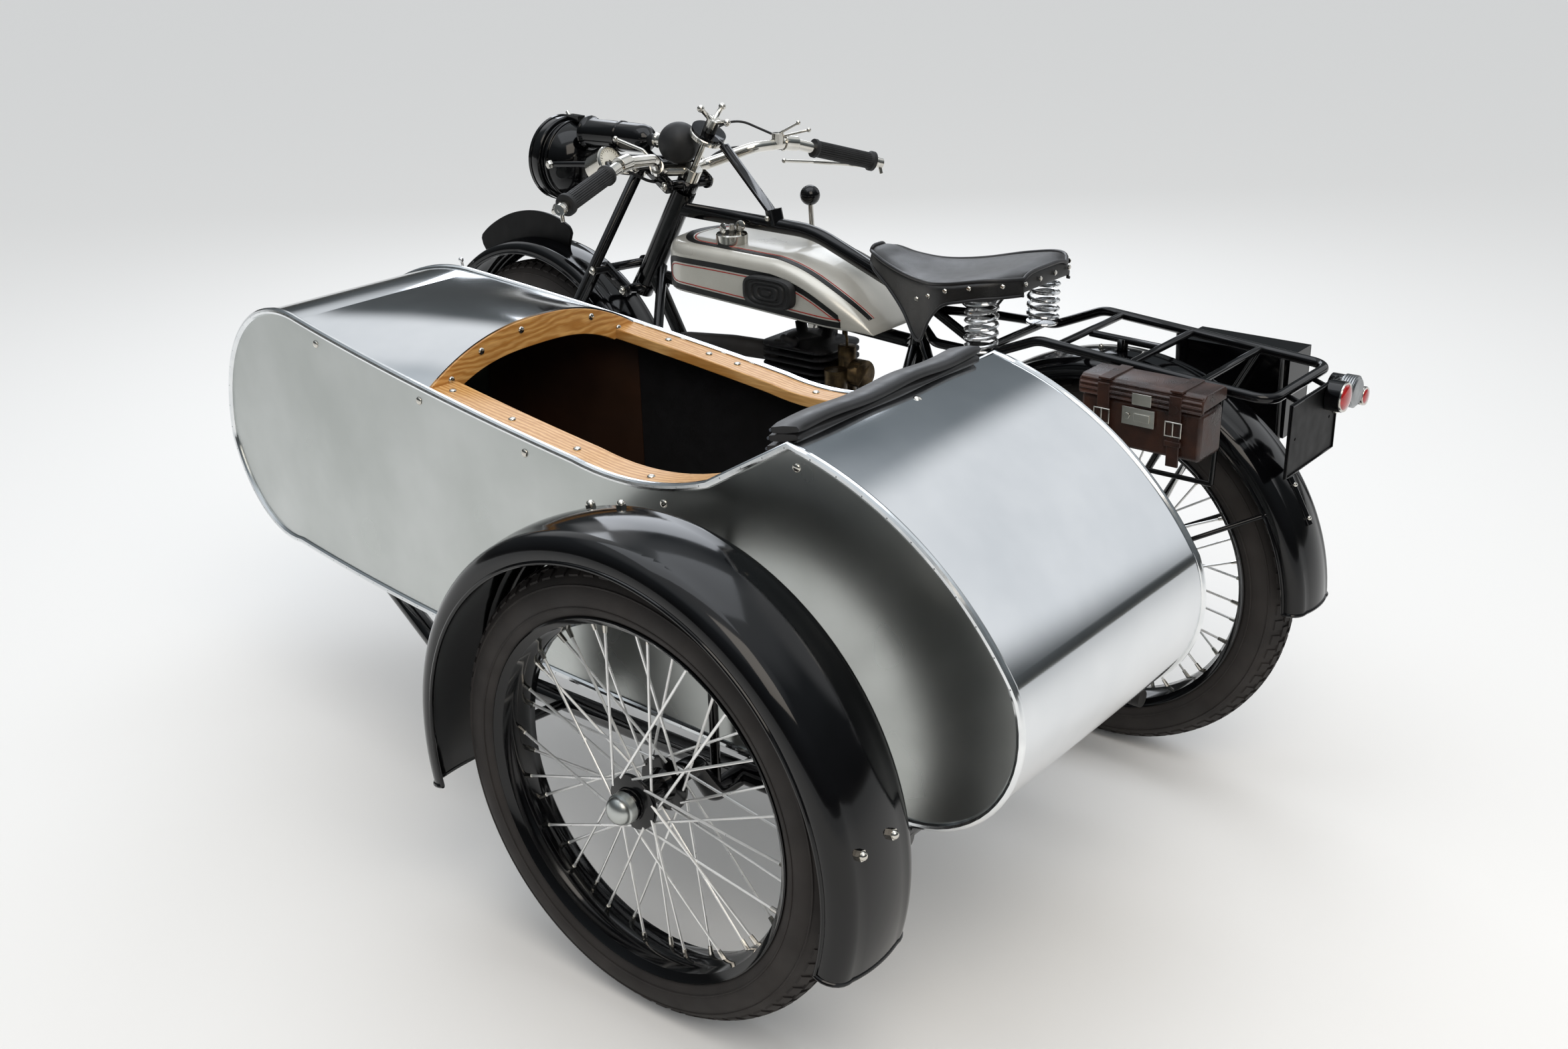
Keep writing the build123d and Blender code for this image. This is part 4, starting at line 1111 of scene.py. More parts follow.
    @staticmethod
    def cushion(node: str, name: str) -> None:
        """A padded block in the place of a plain one.

        Args:
            node: The plain block.
            name: The cushion's name.
        """
        low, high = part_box(node)
        size = high - low
        work = bmesh.new()
        bmesh.ops.create_cube(work, size=1.0)
        bmesh.ops.subdivide_edges(work, edges=work.edges, cuts=5, use_grid_fill=True)
        middle = (low + high) / 2
        for vert in work.verts:
            unit = vert.co * 2
            thin = 2 if size.z < size.x else 0
            flat = [abs(unit[i]) for i in range(3) if i != thin]
            crown = (1 - flat[0] ** 4) * (1 - flat[1] ** 4)
            shrink = 0.72 + 0.28 * crown ** 0.4
            co = Vector(vert.co)
            co[thin] *= shrink
            vert.co = middle + Vector((co.x * size.x, co.y * size.y, co.z * size.z))
        mesh = bpy.data.meshes.new(name)
        work.to_mesh(mesh)
        work.free()
        mesh.materials.append(finished(LEATHERCLOTH))
        piece = Piece.settle(mesh, name, Slot.BLACK_VINYL, replaces=[node], crease_deg=180)
        Piece.pad(piece, 0.8)

    def build(self) -> None:
        """Builds the whole body."""
        self.build_panels()
        self.build_wraps()
        self.build_deck()
        self.build_beads()
        self.build_wood()
        self.build_inside()


@cache
def plywood() -> bpy.types.Material:
    """Rotary-cut ash plywood: amber, with broad wavy grain lines under a satin varnish."""
    mix = Mixture("varnished_plywood")
    place_in = mix.stretched((2.2, 0.35, 1.0))
    rings = mix.node("ShaderNodeTexWave", {"wave_type": "BANDS", "bands_direction": "Z"},
                     Vector=place_in, Scale=28.0, Distortion=14.0, Detail=3.0, Detail_Scale=0.9)
    grain = mix.noise(2.0, mix.stretched((1.0, 0.05, 1.0)), 6.0)
    base = mix.blend(rings.outputs["Fac"], linear("#B27A38"), linear("#D9A864"))
    colour = mix.blend(mix.spread(grain, 0.0, 0.55), base, linear("#8F5C26"))
    normal = mix.bump(grain, 0.08)
    return mix.shade(Base_Color=colour, Roughness=mix.spread(grain, 0.26, 0.4), Normal=normal,
                     Coat_Weight=0.35, Coat_Roughness=0.12)


@cache
def ash() -> bpy.types.Material:
    """Ash board, varnished: straight open grain along the rail."""
    mix = Mixture("varnished_ash")
    rings = mix.node("ShaderNodeTexWave", {"wave_type": "BANDS", "bands_direction": "Y"},
                     Vector=mix.stretched((0.12, 1.0, 1.0)), Scale=42.0, Distortion=5.0, Detail=3.0,
                     Detail_Scale=1.2)
    grain = mix.noise(1.6, mix.stretched((0.04, 1.0, 1.0)), 6.0)
    base = mix.blend(rings.outputs["Fac"], linear("#B98342"), linear("#DDB071"))
    colour = mix.blend(mix.spread(grain, 0.0, 0.5), base, linear("#94622C"))
    return mix.shade(Base_Color=colour, Roughness=mix.spread(grain, 0.34, 0.5),
                     Normal=mix.bump(grain, 0.08), Coat_Weight=0.15, Coat_Roughness=0.2)


@dataclass
class Wheel:
    """One wheel: tyre with tread, rim, spokes with nipples, and hub."""

    name: str
    axle: Spot
    body: Body
    sprocket: bool = False
    cap: bool = False
    tread_depth: float = 3.5
    tube_r: float = 44.0
    well_r: float = 243.0
    lip_r: float = 261.0
    spokes: int = 40
    flange_r: float = 40.0
    flange_y: float = 30.0
    lean_deg: float = 54.0
    steps: int = 128
    treads: int = 72

    def turned(self, draft: Draft, profile: Sequence[Flat], steps: int,
               closed: bool = False) -> Draft:
        """Turns a (radius, width) profile about the axle."""
        return draft.lathe(profile, self.axle, (0, 1, 0), steps, closed, reference=(1, 0, 0))

    def tyre(self) -> None:
        """The tyre: a round carcass, a flatter tread band, side ribs and tread blocks."""
        centre = WHEEL_R - self.tube_r
        carcass = self.tube_r - self.tread_depth
        profile: list[Flat] = [(self.lip_r - 6, -24)]
        for k in range(29):
            turn = math.radians(-136 + 272 * k / 28)
            profile.append((centre + carcass * math.cos(turn), self.tube_r * math.sin(turn)))
        profile.append((self.lip_r - 6, 24))
        tyre = self.turned(Draft(), profile, self.steps)
        for side in (-1, 1):
            for deg, rise in ((62, 1.2), (104, 1.0)):
                turn = math.radians(deg)
                r = centre + (carcass + rise - 1) * math.cos(turn)
                y = side * (self.tube_r + rise - 1) * math.sin(turn)
                ring = [around(self.axle, r, 360 * k / self.steps, y) for k in range(self.steps)]
                tyre.tube(ring, 1.6, 6, closed=True)
        Piece.make(tyre, f"{self.name}_tyre_carcass", TYRE_RUBBER, body=self.body,
                   replaces=[f"{self.name}_tyre"])
        pitch = 360 / self.treads
        block = Draft()
        rows = ((-31, -20, 0.0, 0.62), (-17, -7, 0.5, 0.66), (-4.5, 4.5, 0.0, 0.7),
                (7, 17, 0.5, 0.66), (20, 31, 0.0, 0.62))
        for low_y, high_y, shift, fill in rows:
            half = pitch * fill / 2
            rings = []
            for deg in (-half, half):
                turn = deg + shift * pitch
                spots = []
                for y, lift in ((low_y, -1.2), (low_y, 0), (high_y, 0), (high_y, -1.2)):
                    wide = carcass if lift else self.tube_r
                    r = centre + wide * math.cos(math.asin(y / self.tube_r))
                    spots.append(around(self.axle, r + lift, turn, y))
                rings.append(spots)
            block.rings(rings)
        made = Repeat.about_axle(block, self.axle, self.treads, finished(TYRE_RUBBER))
        Piece.settle(made, f"{self.name}_tread", Slot.TYRE_RUBBER, self.body)

    def lacing(self) -> None:
        """The spokes and their nipples."""
        wires, nipples = Draft(), Draft()
        for side in (-1, 1):
            for lean in (-1, 1):
                hub = (2 if lean > 0 else 0) * 360 / self.spokes + 4.5 * side
                foot = Vector(around(self.axle, self.flange_r - 4, hub,
                                     side * (self.flange_y + lean * 2.6)))
                rim = Vector(around(self.axle, self.well_r + 1, hub + lean * self.lean_deg,
                                    side * 6.0))
                along = (rim - foot).normalized()
                wires.rod(foot, rim, 2.0, sides=8)
                nipples.rod(rim - along * 15, rim, 3.0, 3.8, sides=8)
        turns = self.spokes // 4
        for draft, label, look in ((wires, "spokes", SPOKE_WIRE), (nipples, "nipples", NICKEL)):
            made = Repeat.about_axle(draft, self.axle, turns, finished(look))
            Piece.settle(made, f"{self.name}_{label}", Slot.NICKEL, self.body)

    def rim_and_hub(self) -> None:
        """The enamelled rim and hub, and what is bolted to the hub."""
        half = [(self.well_r, 12.0), (247, 19), (250, 31), (257, 36), (260, 39), (262, 38),
                (261, 35), (255, 30), (253, 27), (247, 12)]
        profile = half + [(r, -y) for r, y in reversed(half)]
        draft = self.turned(Draft(), profile, self.steps, closed=True)
        tube = [(8.2, -48), (20, -48), (23, -44), (24, -36), (self.flange_r - 1, -33),
                (self.flange_r, -31), (self.flange_r, -28), (24, -26), (18, -18), (18, 18),
                (24, 26), (self.flange_r, 28), (self.flange_r, 31), (self.flange_r - 1, 33),
                (24, 36), (23, 44), (20, 48), (8.2, 48)]
        self.turned(draft, tube, 48, closed=True)
        if self.sprocket:
            plate = [(24, 46), (34, 46), (34, 55.5), (60, 55.5), (60, 60.5), (24, 60.5)]
            self.turned(draft, plate, 48, closed=True)
            drum = [(24, -33), (70, -33), (76, -35), (76, -53), (70, -55), (24, -55)]
            self.turned(draft, drum, 64, closed=True)
        Piece.make(draft, f"{self.name}_rim_and_hub", BLACK_ENAMEL, body=self.body,
                   slot=Slot.WHEEL_ENAMEL, replaces=[f"{self.name}_wheel"])
        if self.cap:
            turns = [math.pi / 2 * k / 8 for k in range(9)]
            profile = [(22, 44), (22, 56), *((20 * math.cos(t), 58 + 14 * math.sin(t))
                                             for t in turns)]
            cap = self.turned(Draft(), profile, 48)
            Piece.make(cap, f"{self.name}_hub_cap", SATIN_SHEET, body=self.body)

    def build(self) -> None:
        """Builds the wheel."""
        self.tyre()
        self.rim_and_hub()
        self.lacing()


@dataclass
class Guard:
    """A pressed mudguard with its stays, shown from its solid, with wired hems round its strip."""

    node: str
    axle: Spot
    body: Body
    start_deg: float
    end_deg: float
    crown_r: float
    half: float
    drop: float
    hem_r: float = 3.2

    def section(self) -> list[Flat]:
        """(radius, y) spots over the strip, from one edge to the other."""
        bend = (self.crown_r - 5, self.half * 0.62)
        middle = (self.crown_r - self.drop * 0.38, self.half * 0.93)
        hem = (self.crown_r - self.drop, self.half)
        flank = [*arc(hem, middle, bend, 8), bend]
        crown = arc(bend, (self.crown_r, 0.0), (bend[0], -bend[1]), 12)
        return flank + crown[1:] + [(r, -y) for r, y in reversed(flank)]

    def build(self) -> None:
        """Builds the guard."""
        back = steered().inverted()
        hub = place(*self.axle)

        def stands(corner: Vector) -> bool:
            """Whether a corner is on the plate that stands on the crown."""
            spot = (back @ corner - hub) * 1000
            return abs(spot.y) < 2.3 and math.hypot(spot.x, spot.z) > self.crown_r - 2.5

        shown = CadFinish(self.node, BLACK_ENAMEL, self.body, crease_deg=24.0)
        shown.build(stands if self.body.turned else None)
        steps = int((self.end_deg - self.start_deg) / 2)
        turns = [self.start_deg + (self.end_deg - self.start_deg) * k / steps
                 for k in range(steps + 1)]
        hems = Draft()
        for y in (self.half, -self.half):
            hems.tube([around(self.axle, self.crown_r - self.drop, deg, y) for deg in turns],
                      self.hem_r, 10)
        for deg in (self.start_deg, self.end_deg):
            hems.tube([around(self.axle, r - 1, deg, y) for r, y in self.section()], self.hem_r, 10)
        Piece.make(hems, f"{self.node}_hems", BLACK_ENAMEL, body=self.body)


def leather(name: str, colour: str, fleck: str, pore_mm: float, rough: float) -> bpy.types.Material:
    """Hide with pores and fine creases, rubbed lighter on its high places.

    Args:
        name: The material's name.
        colour: Its main colour.
        fleck: Its worn colour.
        pore_mm: Size of the pores.
        rough: Middle roughness.

    Returns:
        The material.
    """
    mix = Mixture(name)
    pores = mix.node("ShaderNodeTexVoronoi", {"feature": "DISTANCE_TO_EDGE"}, Vector=mix.place,
                     Scale=1000.0 / pore_mm)
    soft = mix.spread(pores.outputs["Distance"], 0.0, 1.0, 0.0, 0.25)
    worn = mix.noise(55, detail=5.0)
    colour_out = mix.blend(mix.spread(worn, 0.0, 1.0, 0.42, 0.75), linear(colour), linear(fleck))
    normal = mix.bump(soft, 0.12)
    creases = mix.noise(26, detail=6.0, distortion=1.2)
    return mix.shade(Base_Color=colour_out, Normal=mix.bump(creases, 0.35, normal),
                     Roughness=mix.spread(worn, rough - 0.08, rough + 0.1), Sheen_Weight=0.06)


@dataclass
class Tank:
    """The flat tank: its painted shell, bands, lines and filler. Sizes in millimetres."""

    half: float = 106.0
    shoulder_r: float = 24.0
    foot_r: float = 9.0
    front_x: float = 948.0
    round_x: float = 870.0
    tail_x: float = 446.0
    tail_z: float = 672.0
    band_end: int = 925
    band_top: float = 760.0
    sunk: float = 0.3

    def half_at(self, x: float) -> float:
        """Half width at x: round at the front, tapered at the tail."""
        if x > self.round_x:
            share = (x - self.round_x) / (self.front_x + 2 - self.round_x)
            return self.half * math.sqrt(max(0.0, 1 - share ** 2.4))
        if x < 560:
            return 78 + (self.half - 78) * math.sin(math.pi / 2 * max(0.0, (x - 440) / 120))
        return self.half

    def top_at(self, x: float) -> float:
        """Height of the top at x: level, then sweeping down to the tail."""
        if x > 660:
            return 784 + 4 * min(1.0, (x - 660) / 265) - 9 * max(0.0, (x - 900) / 50) ** 2
        tail = (self.tail_x, self.tail_z)
        return SidecarBody.height([*arc((660, 784), (535, 744), tail, 40), tail], x)

    def floor_at(self, x: float) -> float:
        """Height of the underside at x."""
        return self.tail_z + (x - self.tail_x) * 24 / 494

    def section(self, x: float) -> list[Flat]:
        """(y, z) loop at x, from the middle of the top round the left side and back.

        Args:
            x: Where the tank is cut.

        Returns:
            A loop of the same count at every x.
        """
        half, top, low = self.half_at(x), self.top_at(x), self.floor_at(x)
        high = max(top, low + 1.0)
        shoulder = min(self.shoulder_r, (high - low) * 0.48, half * 0.9)
        foot = min(self.foot_r, (high - low) * 0.3, half * 0.4)
        side = [(y / 6 * (half - shoulder), high + 2.5 * (1 - (y / 6) ** 2)) for y in range(6)]
        for k in range(9):
            turn = math.pi / 2 * k / 8
            side.append((half - shoulder + shoulder * math.sin(turn),
                         high - shoulder * (1 - math.cos(turn))))
        for k in range(1, 6):
            side.append((half, high - shoulder + (low + foot - high + shoulder) * k / 6))
        for k in range(7):
            turn = math.pi / 2 * k / 6
            side.append((half - foot * (1 - math.cos(turn)), low + foot * (1 - math.sin(turn))))
        side.append((0.0, low))
        return side + [(-y, z) for y, z in reversed(side[1:-1])]

    def shell(self) -> None:
        """The painted shell."""
        xs = [self.tail_x + 1.0]
        level, bow = self.round_x - self.tail_x, self.front_x - self.round_x
        xs += [self.tail_x + level * k / 40 for k in range(1, 41)]
        xs += [self.round_x + bow * math.sin(math.pi / 2 * k / 16) for k in range(1, 17)]
        rings = [[(x, y, z) for y, z in self.section(x)] for x in xs]
        Piece.make(Draft().rings(rings), "petrol_tank_shell", tank_paint(), slot=Slot.TANK_SILVER,
                   replaces=["petrol_tank"], crease_deg=50)

    def on_side(self, x: float, z: float, side: int) -> Vector:
        """A spot just under the tank's flat side."""
        return Vector((x, side * (self.half_at(x) - self.sunk), z))

    def on_top(self, x: float, y: float) -> Vector:
        """A spot just under the tank's top."""
        flat = self.half_at(x) - min(self.shoulder_r, self.half_at(x) * 0.9)
        share = min(1.0, abs(y) / max(flat, 1.0))
        return Vector((x, y, self.top_at(x) + 2.5 * (1 - share ** 2) - self.sunk))

    @staticmethod
    def ribbon(draft: Draft, lines: Sequence[Sequence[Vector]], lift: Vector) -> None:
        """A closed strip of paint over several lines on the tank."""
        draft.rings([[*spots, *(spot + lift for spot in reversed(spots))] for spots in zip(*lines)],
                    closed=True)

    def loop_line(self, inset: float) -> list[Flat]:
        """The side band's (x, z) line, inset from the side's outline, with round ends."""
        low = [(x, self.floor_at(x) + 8 + inset) for x in range(505, 900, 15)]
        bow_x, tip_x = 890, self.band_end - inset
        high_z, low_z = self.band_top - inset, self.floor_at(bow_x) + 8 + inset
        middle, rise = (high_z + low_z) / 2, (high_z - low_z) / 2
        bow = []
        for k in range(13):
            turn = -math.pi / 2 + math.pi * k / 12
            bow.append((bow_x - inset * 0.2 + (tip_x - bow_x) * math.cos(turn),
                        middle + rise * math.sin(turn)))
        top = []
        for x in range(885, 500, -15):
            z = min(self.band_top, self.top_at(x) - 26) - inset
            top.append((x, max(z, self.floor_at(x) + 9 + inset)))
        return low + bow + top

    def bands(self) -> None:
        """Black bands and thin red lines on both sides and round the top."""
        black, red = Draft(), Draft()
        for side in (1, -1):
            for draft, start, stop in ((black, -2.0, 8.5), (red, 11.5, 13.3)):
                loops = [self.loop_line(start + (stop - start) * k / 3) for k in range(4)]
                lines = [[self.on_side(x, z, side) for x, z in loop] for loop in loops]
                self.ribbon(draft, lines, Vector((0, side, 0)))
        for draft, start, stop in ((black, -6.0, 14.0), (red, 19.0, 22.0)):
            lines = [self.top_line(start + (stop - start) * k / 4) for k in range(5)]
            self.ribbon(draft, lines, Vector((0, 0, 1.1)))
        Piece.make(black, "tank_bands", BAND_BLACK)
        Piece.make(red, "tank_lines", RED_LINE)

    def top_line(self, inset: float) -> list[Vector]:
        """The top band's line: along both shoulders, round the front and across the tail."""
        left, fade_x = [], 850
        for x in range(466, self.band_end - int(inset), 8):
            edge = self.half_at(x) - self.shoulder_r - inset * 0.6
            if x > fade_x:
                share = (x - fade_x) / (self.band_end - inset - fade_x)
                edge *= math.sqrt(max(0.05, 1 - share ** 2))
            left.append((x, edge))
        loop = left + [(x, -y) for x, y in reversed(left)]
        return [self.on_top(x, y) for x, y in loop]

    def cap(self) -> None:
        """Nickel filler with its milled rim and two ears, and the taps' knurled nuts."""
        base = (800.0, 45.0, 786.0)
        draft = Draft().lathe([(0, 0), (30, 0), (30, 18), (28.5, 20), (12, 20.6), (0, 21)], base,
                              (0, 0, 1), 56)
        for side in (-1, 1):
            ear = Vector(base) + Vector((side * 7, side * 17, 31))
            draft.lathe([(0, -2), (8, -2), (10, -1), (10, 1), (8, 2), (0, 2)], ear,
                        (side * 0.35, 1, 0.2), 28)
            draft.rod(Vector(base) + Vector((side * 7, side * 16, 20)), ear, 4)
        draft.rod((800, 45, 806), (800, 45, 822), 5)
        draft.lathe([(0, 0), (9, 0), (9, 6), (6, 9), (0, 9)], (852, -28, 789), (0, 0, 1), 20)
        Piece.make(draft, "filler", NICKEL, replaces=["filler_cap"])

    def pads(self) -> None:
        """Rubber knee pads with a rim and rings of ribs."""
        (mid_x, mid_z), (long, tall), squareness = (658, 727), (58, 28.5), 0.55
        draft = Draft()
        for side in (1, -1):
            rings = []
            for size, out in ((1.0, 0.0), (1.0, 10.0), (0.96, 14.0), (0.86, 16.0), (0.8, 13.5),
                              (0.72, 13.5), (0.68, 16), (0.6, 16), (0.56, 13.5), (0.48, 13.5),
                              (0.44, 16), (0.34, 16), (0.3, 13.5), (0.2, 13.5), (0.16, 16),
                              (0.04, 16.5)):
                ring = []
                for k in range(48):
                    turn = math.tau * k / 48
                    c, s = math.cos(turn), math.sin(turn)
                    x = mid_x + long * size * math.copysign(abs(c) ** squareness, c)
                    z = mid_z + tall * size * math.copysign(abs(s) ** squareness, s)
                    ring.append((x, side * (self.half + out), z))
                rings.append(ring)
            draft.rings(rings)
        Piece.make(draft, "knee_pads_ribbed", MOULDED_RUBBER, replaces=["knee_pads"])

    def build(self) -> None:
        """Builds the tank."""
        self.shell()
        self.bands()
        self.cap()
        self.pads()


@cache
def tank_paint() -> bpy.types.Material:
    """Silver cellulose over tinplate: fine metal flake, a soft clear gloss, faint brush waves."""
    mix = Mixture("silver_cellulose")
    flake = mix.noise(0.7, detail=2.0)
    cloud = mix.noise(90, detail=3.0)
    base = mix.blend(mix.spread(cloud, 0.0, 1.0), linear("#B3B0A6"), linear("#C3C0B6"))
    colour = mix.blend(mix.spread(flake, 0.0, 0.35), base, linear("#D6D4CC"))
    return mix.shade(Base_Color=colour, Metallic=0.42, Roughness=mix.spread(cloud, 0.26, 0.36),
                     Normal=mix.bump(mix.noise(60), 0.25), Coat_Weight=0.5, Coat_Roughness=0.08)


@dataclass
class Saddle:
    """Leather saddle top with skirts, its coil springs and its nose fitting."""

    spring_x: float = 210.0
    spring_y: float = 100.0
    rivet: tuple[Flat, ...] = ((4.4, -1), (4.4, 0.6), (3, 2), (0, 2.4))

    @staticmethod
    def half_at(u: float) -> float:
        """Half width at u from the rear (0) to the nose (1)."""
        return flowing(((0.0, 74.0), (0.07, 116.0), (0.16, 138.0), (0.28, 146.0), (0.4, 136.0),
                        (0.54, 104.0), (0.7, 72.0), (0.84, 52.0), (0.95, 38.0), (1.0, 22.0)), u)

    @staticmethod
    def skirt_at(u: float) -> float:
        """How far the skirt hangs at u."""
        return flowing(((0.0, 22.0), (0.2, 25.0), (0.32, 30.0), (0.42, 58.0), (0.51, 96.0),
                        (0.58, 94.0), (0.68, 62.0), (0.82, 34.0), (0.94, 22.0), (1.0, 16.0)), u)

    def top(self) -> None:
        """The hide: a shallow dish with a raised back, rolled over at the sides into skirts."""
        rings = []
        steps, across = 40, 16
        for k in range(steps + 1):
            u = k / steps
            x = 150 + 344 * u
            half, hang = self.half_at(u), self.skirt_at(u)
            crown = flowing(((0.0, 822.0), (0.12, 824.0), (0.32, 812.0), (0.52, 800.0),
                             (0.7, 797.0), (0.85, 804.0), (0.95, 814.0), (1.0, 815.0)), u)
            upper = []
            for j in range(across + 1):
                v = -1 + 2 * j / across
                dish = -7 * math.cos(math.pi * v / 2) * math.sin(math.pi * min(1.0, u * 1.3))
                upper.append(Vector((x, half * 0.93 * v, crown + dish - 8 * abs(v) ** 5)))
            hem_l = [Vector((x, half * (0.99 + 0.02 * t), crown - 12 - hang * t))
                     for t in (0.0, 0.3, 0.65, 1.0)]
            hem_r = [Vector((p.x, -p.y, p.z)) for p in reversed(hem_l)]
            rings.append(hem_r + upper + hem_l)
        near, far = [ring[4] for ring in rings], [ring[-5] for ring in reversed(rings)]
        edge = [*near, *rings[-1][5:-5], *far, *reversed(rings[0][5:-5])]
        for ring, shift in ((rings[0], -4.0), (rings[-1], 4.0)):
            wall = [Vector((p.x + shift, p.y, min(p.z, max(q.z for q in ring) - 30))) for p in ring]
            rings.insert(0 if shift < 0 else len(rings), wall)
        outer = Draft().rings(rings, loop=False)
        mesh = outer.mesh("saddle_hide")
        mesh.materials.append(leather("saddle_hide", "#0B0A0A", "#1B1917", 2.4, 0.38))
        piece = Piece.settle(mesh, "saddle_hide", Slot.BLACK_LEATHER, replaces=["saddle"],
                             crease_deg=180)
        skin = piece.modifiers.new("thickness", "SOLIDIFY")
        skin.thickness, skin.offset = 0.004, -1.0
        Piece.pad(piece, 0.4)
        self.trim(rings, edge)

    def trim(self, rings: Sequence[Sequence[Vector]], edge: Sequence[Vector]) -> None:
        """The piping round the top, the rivets under it and the rolled hem along the skirts."""
        draft = Draft().tube([spot + Vector((0, 0, 0.5)) for spot in edge], 3.6, 12, closed=True)
        for index in (0, -1):
            draft.tube([ring[index] for ring in rings], 2.6, 10)
        Piece.make(draft, "saddle_piping", LEATHERCLOTH, slot=Slot.BLACK_LEATHER)
        rivets = Draft()
        for side, index in ((-1, 2), (1, -3)):
            for ring in rings[3:24:5]:
                spot = ring[index] + Vector((0, side * 1.5, 3))
                rivets.lathe(self.rivet, spot, (0, side, 0), 14)
        for y in (-70, -24, 24, 70):
            rivets.lathe(self.rivet, (145, y, rings[1][12].z - 15), (-1, 0, 0), 14)
        Piece.make(rivets, "saddle_rivets", NICKEL)

    def springs(self) -> None:
        """Two bright coil springs between their cups, and the cranked rails over them."""
        draft = Draft()
        for side in (1, -1):
            path = []
            turns, low, high = 5.6, 698.0, 780.0
            for k in range(int(turns * 24) + 1):
                turn = math.tau * k / 24
                share = k / (turns * 24)
                radius = 26
                path.append((self.spring_x + radius * math.cos(turn),
                             side * (self.spring_y + radius * math.sin(turn)),
                             low + (high - low) * share))
            draft.tube(path, 3.5, 10)
            for z in (695, 781):
                draft.lathe([(0, -2), (29, -2), (30, 0), (29, 2), (0, 2)],
                            (self.spring_x, side * self.spring_y, z), (0, 0, 1), 32)
        Piece.make(draft, "saddle_coils", CHROME, replaces=["saddle_springs"])
        under = Draft()
        for side in (1, -1):
            path = rounded([(455, side * 16, 790), (330, side * 60, 776), (205, side * 100, 786),
                            (172, side * 60, 790), (168, 0, 791)], [60, 60, 26, 20])
            under.tube(path, 5, 12)
        under.rod((440, 0, 735), (440, 0, 792), 9)
        Piece.make(under, "saddle_rails", BLACK_ENAMEL)

    def build(self) -> None:
        """Builds the saddle."""
        self.top()
        self.springs()


@dataclass
class Luggage:
    """The leather case in its frame, and the steel box's lock on the other side."""

    x: Flat = (-244.0, -36.0)
    y: Flat = (127.0, 206.0)
    z: Flat = (616.0, 722.0)

    def case(self) -> None:
        """The case: body, overhanging lid with ridges, straps, buckles and hasp."""
        hide = leather("case_hide", "#24110A", "#472718", 3.2, 0.3)
        (x0, x1), (y0, y1), (z0, z1) = self.x, self.y, self.z
        draft = Draft().block((x0 + 3, x1 - 3), (y0 + 2, y1 - 4), (z0, z1 - 30))
        Piece.make(draft, "case_body", hide, slot=Slot.BROWN_LEATHER, replaces=["leather_case"],
                   bevel_mm=6)
        lid = Draft()
        lid.rings([[(x, y0, z1 - 22), (x, y0, z1 - 6), (x, y0 + 8, z1), (x, y1 - 12, z1),
                    (x, y1 - 2, z1 - 6), (x, y1, z1 - 12), (x, y1, z1 - 27), (x, y1 - 5, z1 - 27),
                    (x, y1 - 5, z1 - 24)] for x in (x0, x1)])
        for y, z in ((y1 - 4, z1 - 4.5), (y1 - 0.6, z1 - 11), (y1 + 0.2, z1 - 18),
                     (y1 - 0.6, z1 - 26)):
            lid.rod((x0 + 2, y, z), (x1 - 2, y, z), 2.8, sides=12)
        Piece.make(lid, "case_lid", hide, slot=Slot.BROWN_LEATHER, bevel_mm=2.5)
        straps, metal = Draft(), Draft()
        for x in (x0 + 44, x1 - 44):
            straps.block((x - 10, x + 10), (y1 - 1, y1 + 3.2), (z0 - 11, z1 - 6))
            straps.block((x - 10, x + 10), (y0 + 6, y1 + 2), (z1 - 1, z1 + 2.6))
            straps.block((x - 13, x + 13), (y1, y1 + 5.5), (z0 + 22, z0 + 30))
            ring = [(x - 13, y1 + 5, z0 + 38), (x + 13, y1 + 5, z0 + 38), (x + 13, y1 + 5, z0 + 60),
                    (x - 13, y1 + 5, z0 + 60)]
            metal.tube(ring, 1.7, 8, closed=True)
            metal.rod((x, y1 + 6, z0 + 38), (x, y1 + 6, z0 + 60), 1.3, sides=8)
        mid = (x0 + x1) / 2
        metal.block((mid - 27, mid + 27), (y1 - 1, y1 + 2.5), (z1 - 64, z1 - 36))
        metal.block((mid - 20, mid + 6), (y1 + 2, y1 + 5), (z1 - 56, z1 - 44))
        metal.block((mid - 22, mid + 10), (y1, y1 + 5.5), (z1 - 30, z1 - 12))
        metal.rod((mid + 18, y1 + 2, z1 - 50), (mid + 18, y1 + 5, z1 - 50), 5)
        Piece.make(straps, "case_straps", hide, slot=Slot.BROWN_LEATHER, bevel_mm=0.8)
        Piece.make(metal, "case_buckles", NICKEL, bevel_mm=0.4)

    @staticmethod
    def lock() -> None:
        """Lock and handle of the toolbox's door, which move with it."""
        draft = Draft().lathe([(0, 0), (9, 0), (9, 2), (7, 3.5), (0, 4)], (-137, -214, 664),
                              (0, -1, 0), 28)
        draft.rod((-137, -217, 664), (-137, -221, 664), 3)
        draft.block((-139, -135), (-224, -217), (655, 673))
        Piece.make(draft, "toolbox_lock", NICKEL, body=Body.TOOLBOX_DOOR, bevel_mm=0.4)

    def build(self) -> None:
        """Builds the case and the lock."""
        self.case()
        self.lock()


@dataclass(frozen=True)
class Head:
    """One screw, stud or nut: where it sits, which way it points and its size."""

    spot: Spot
    aim: Spot
    radius: float
    nut: bool = False


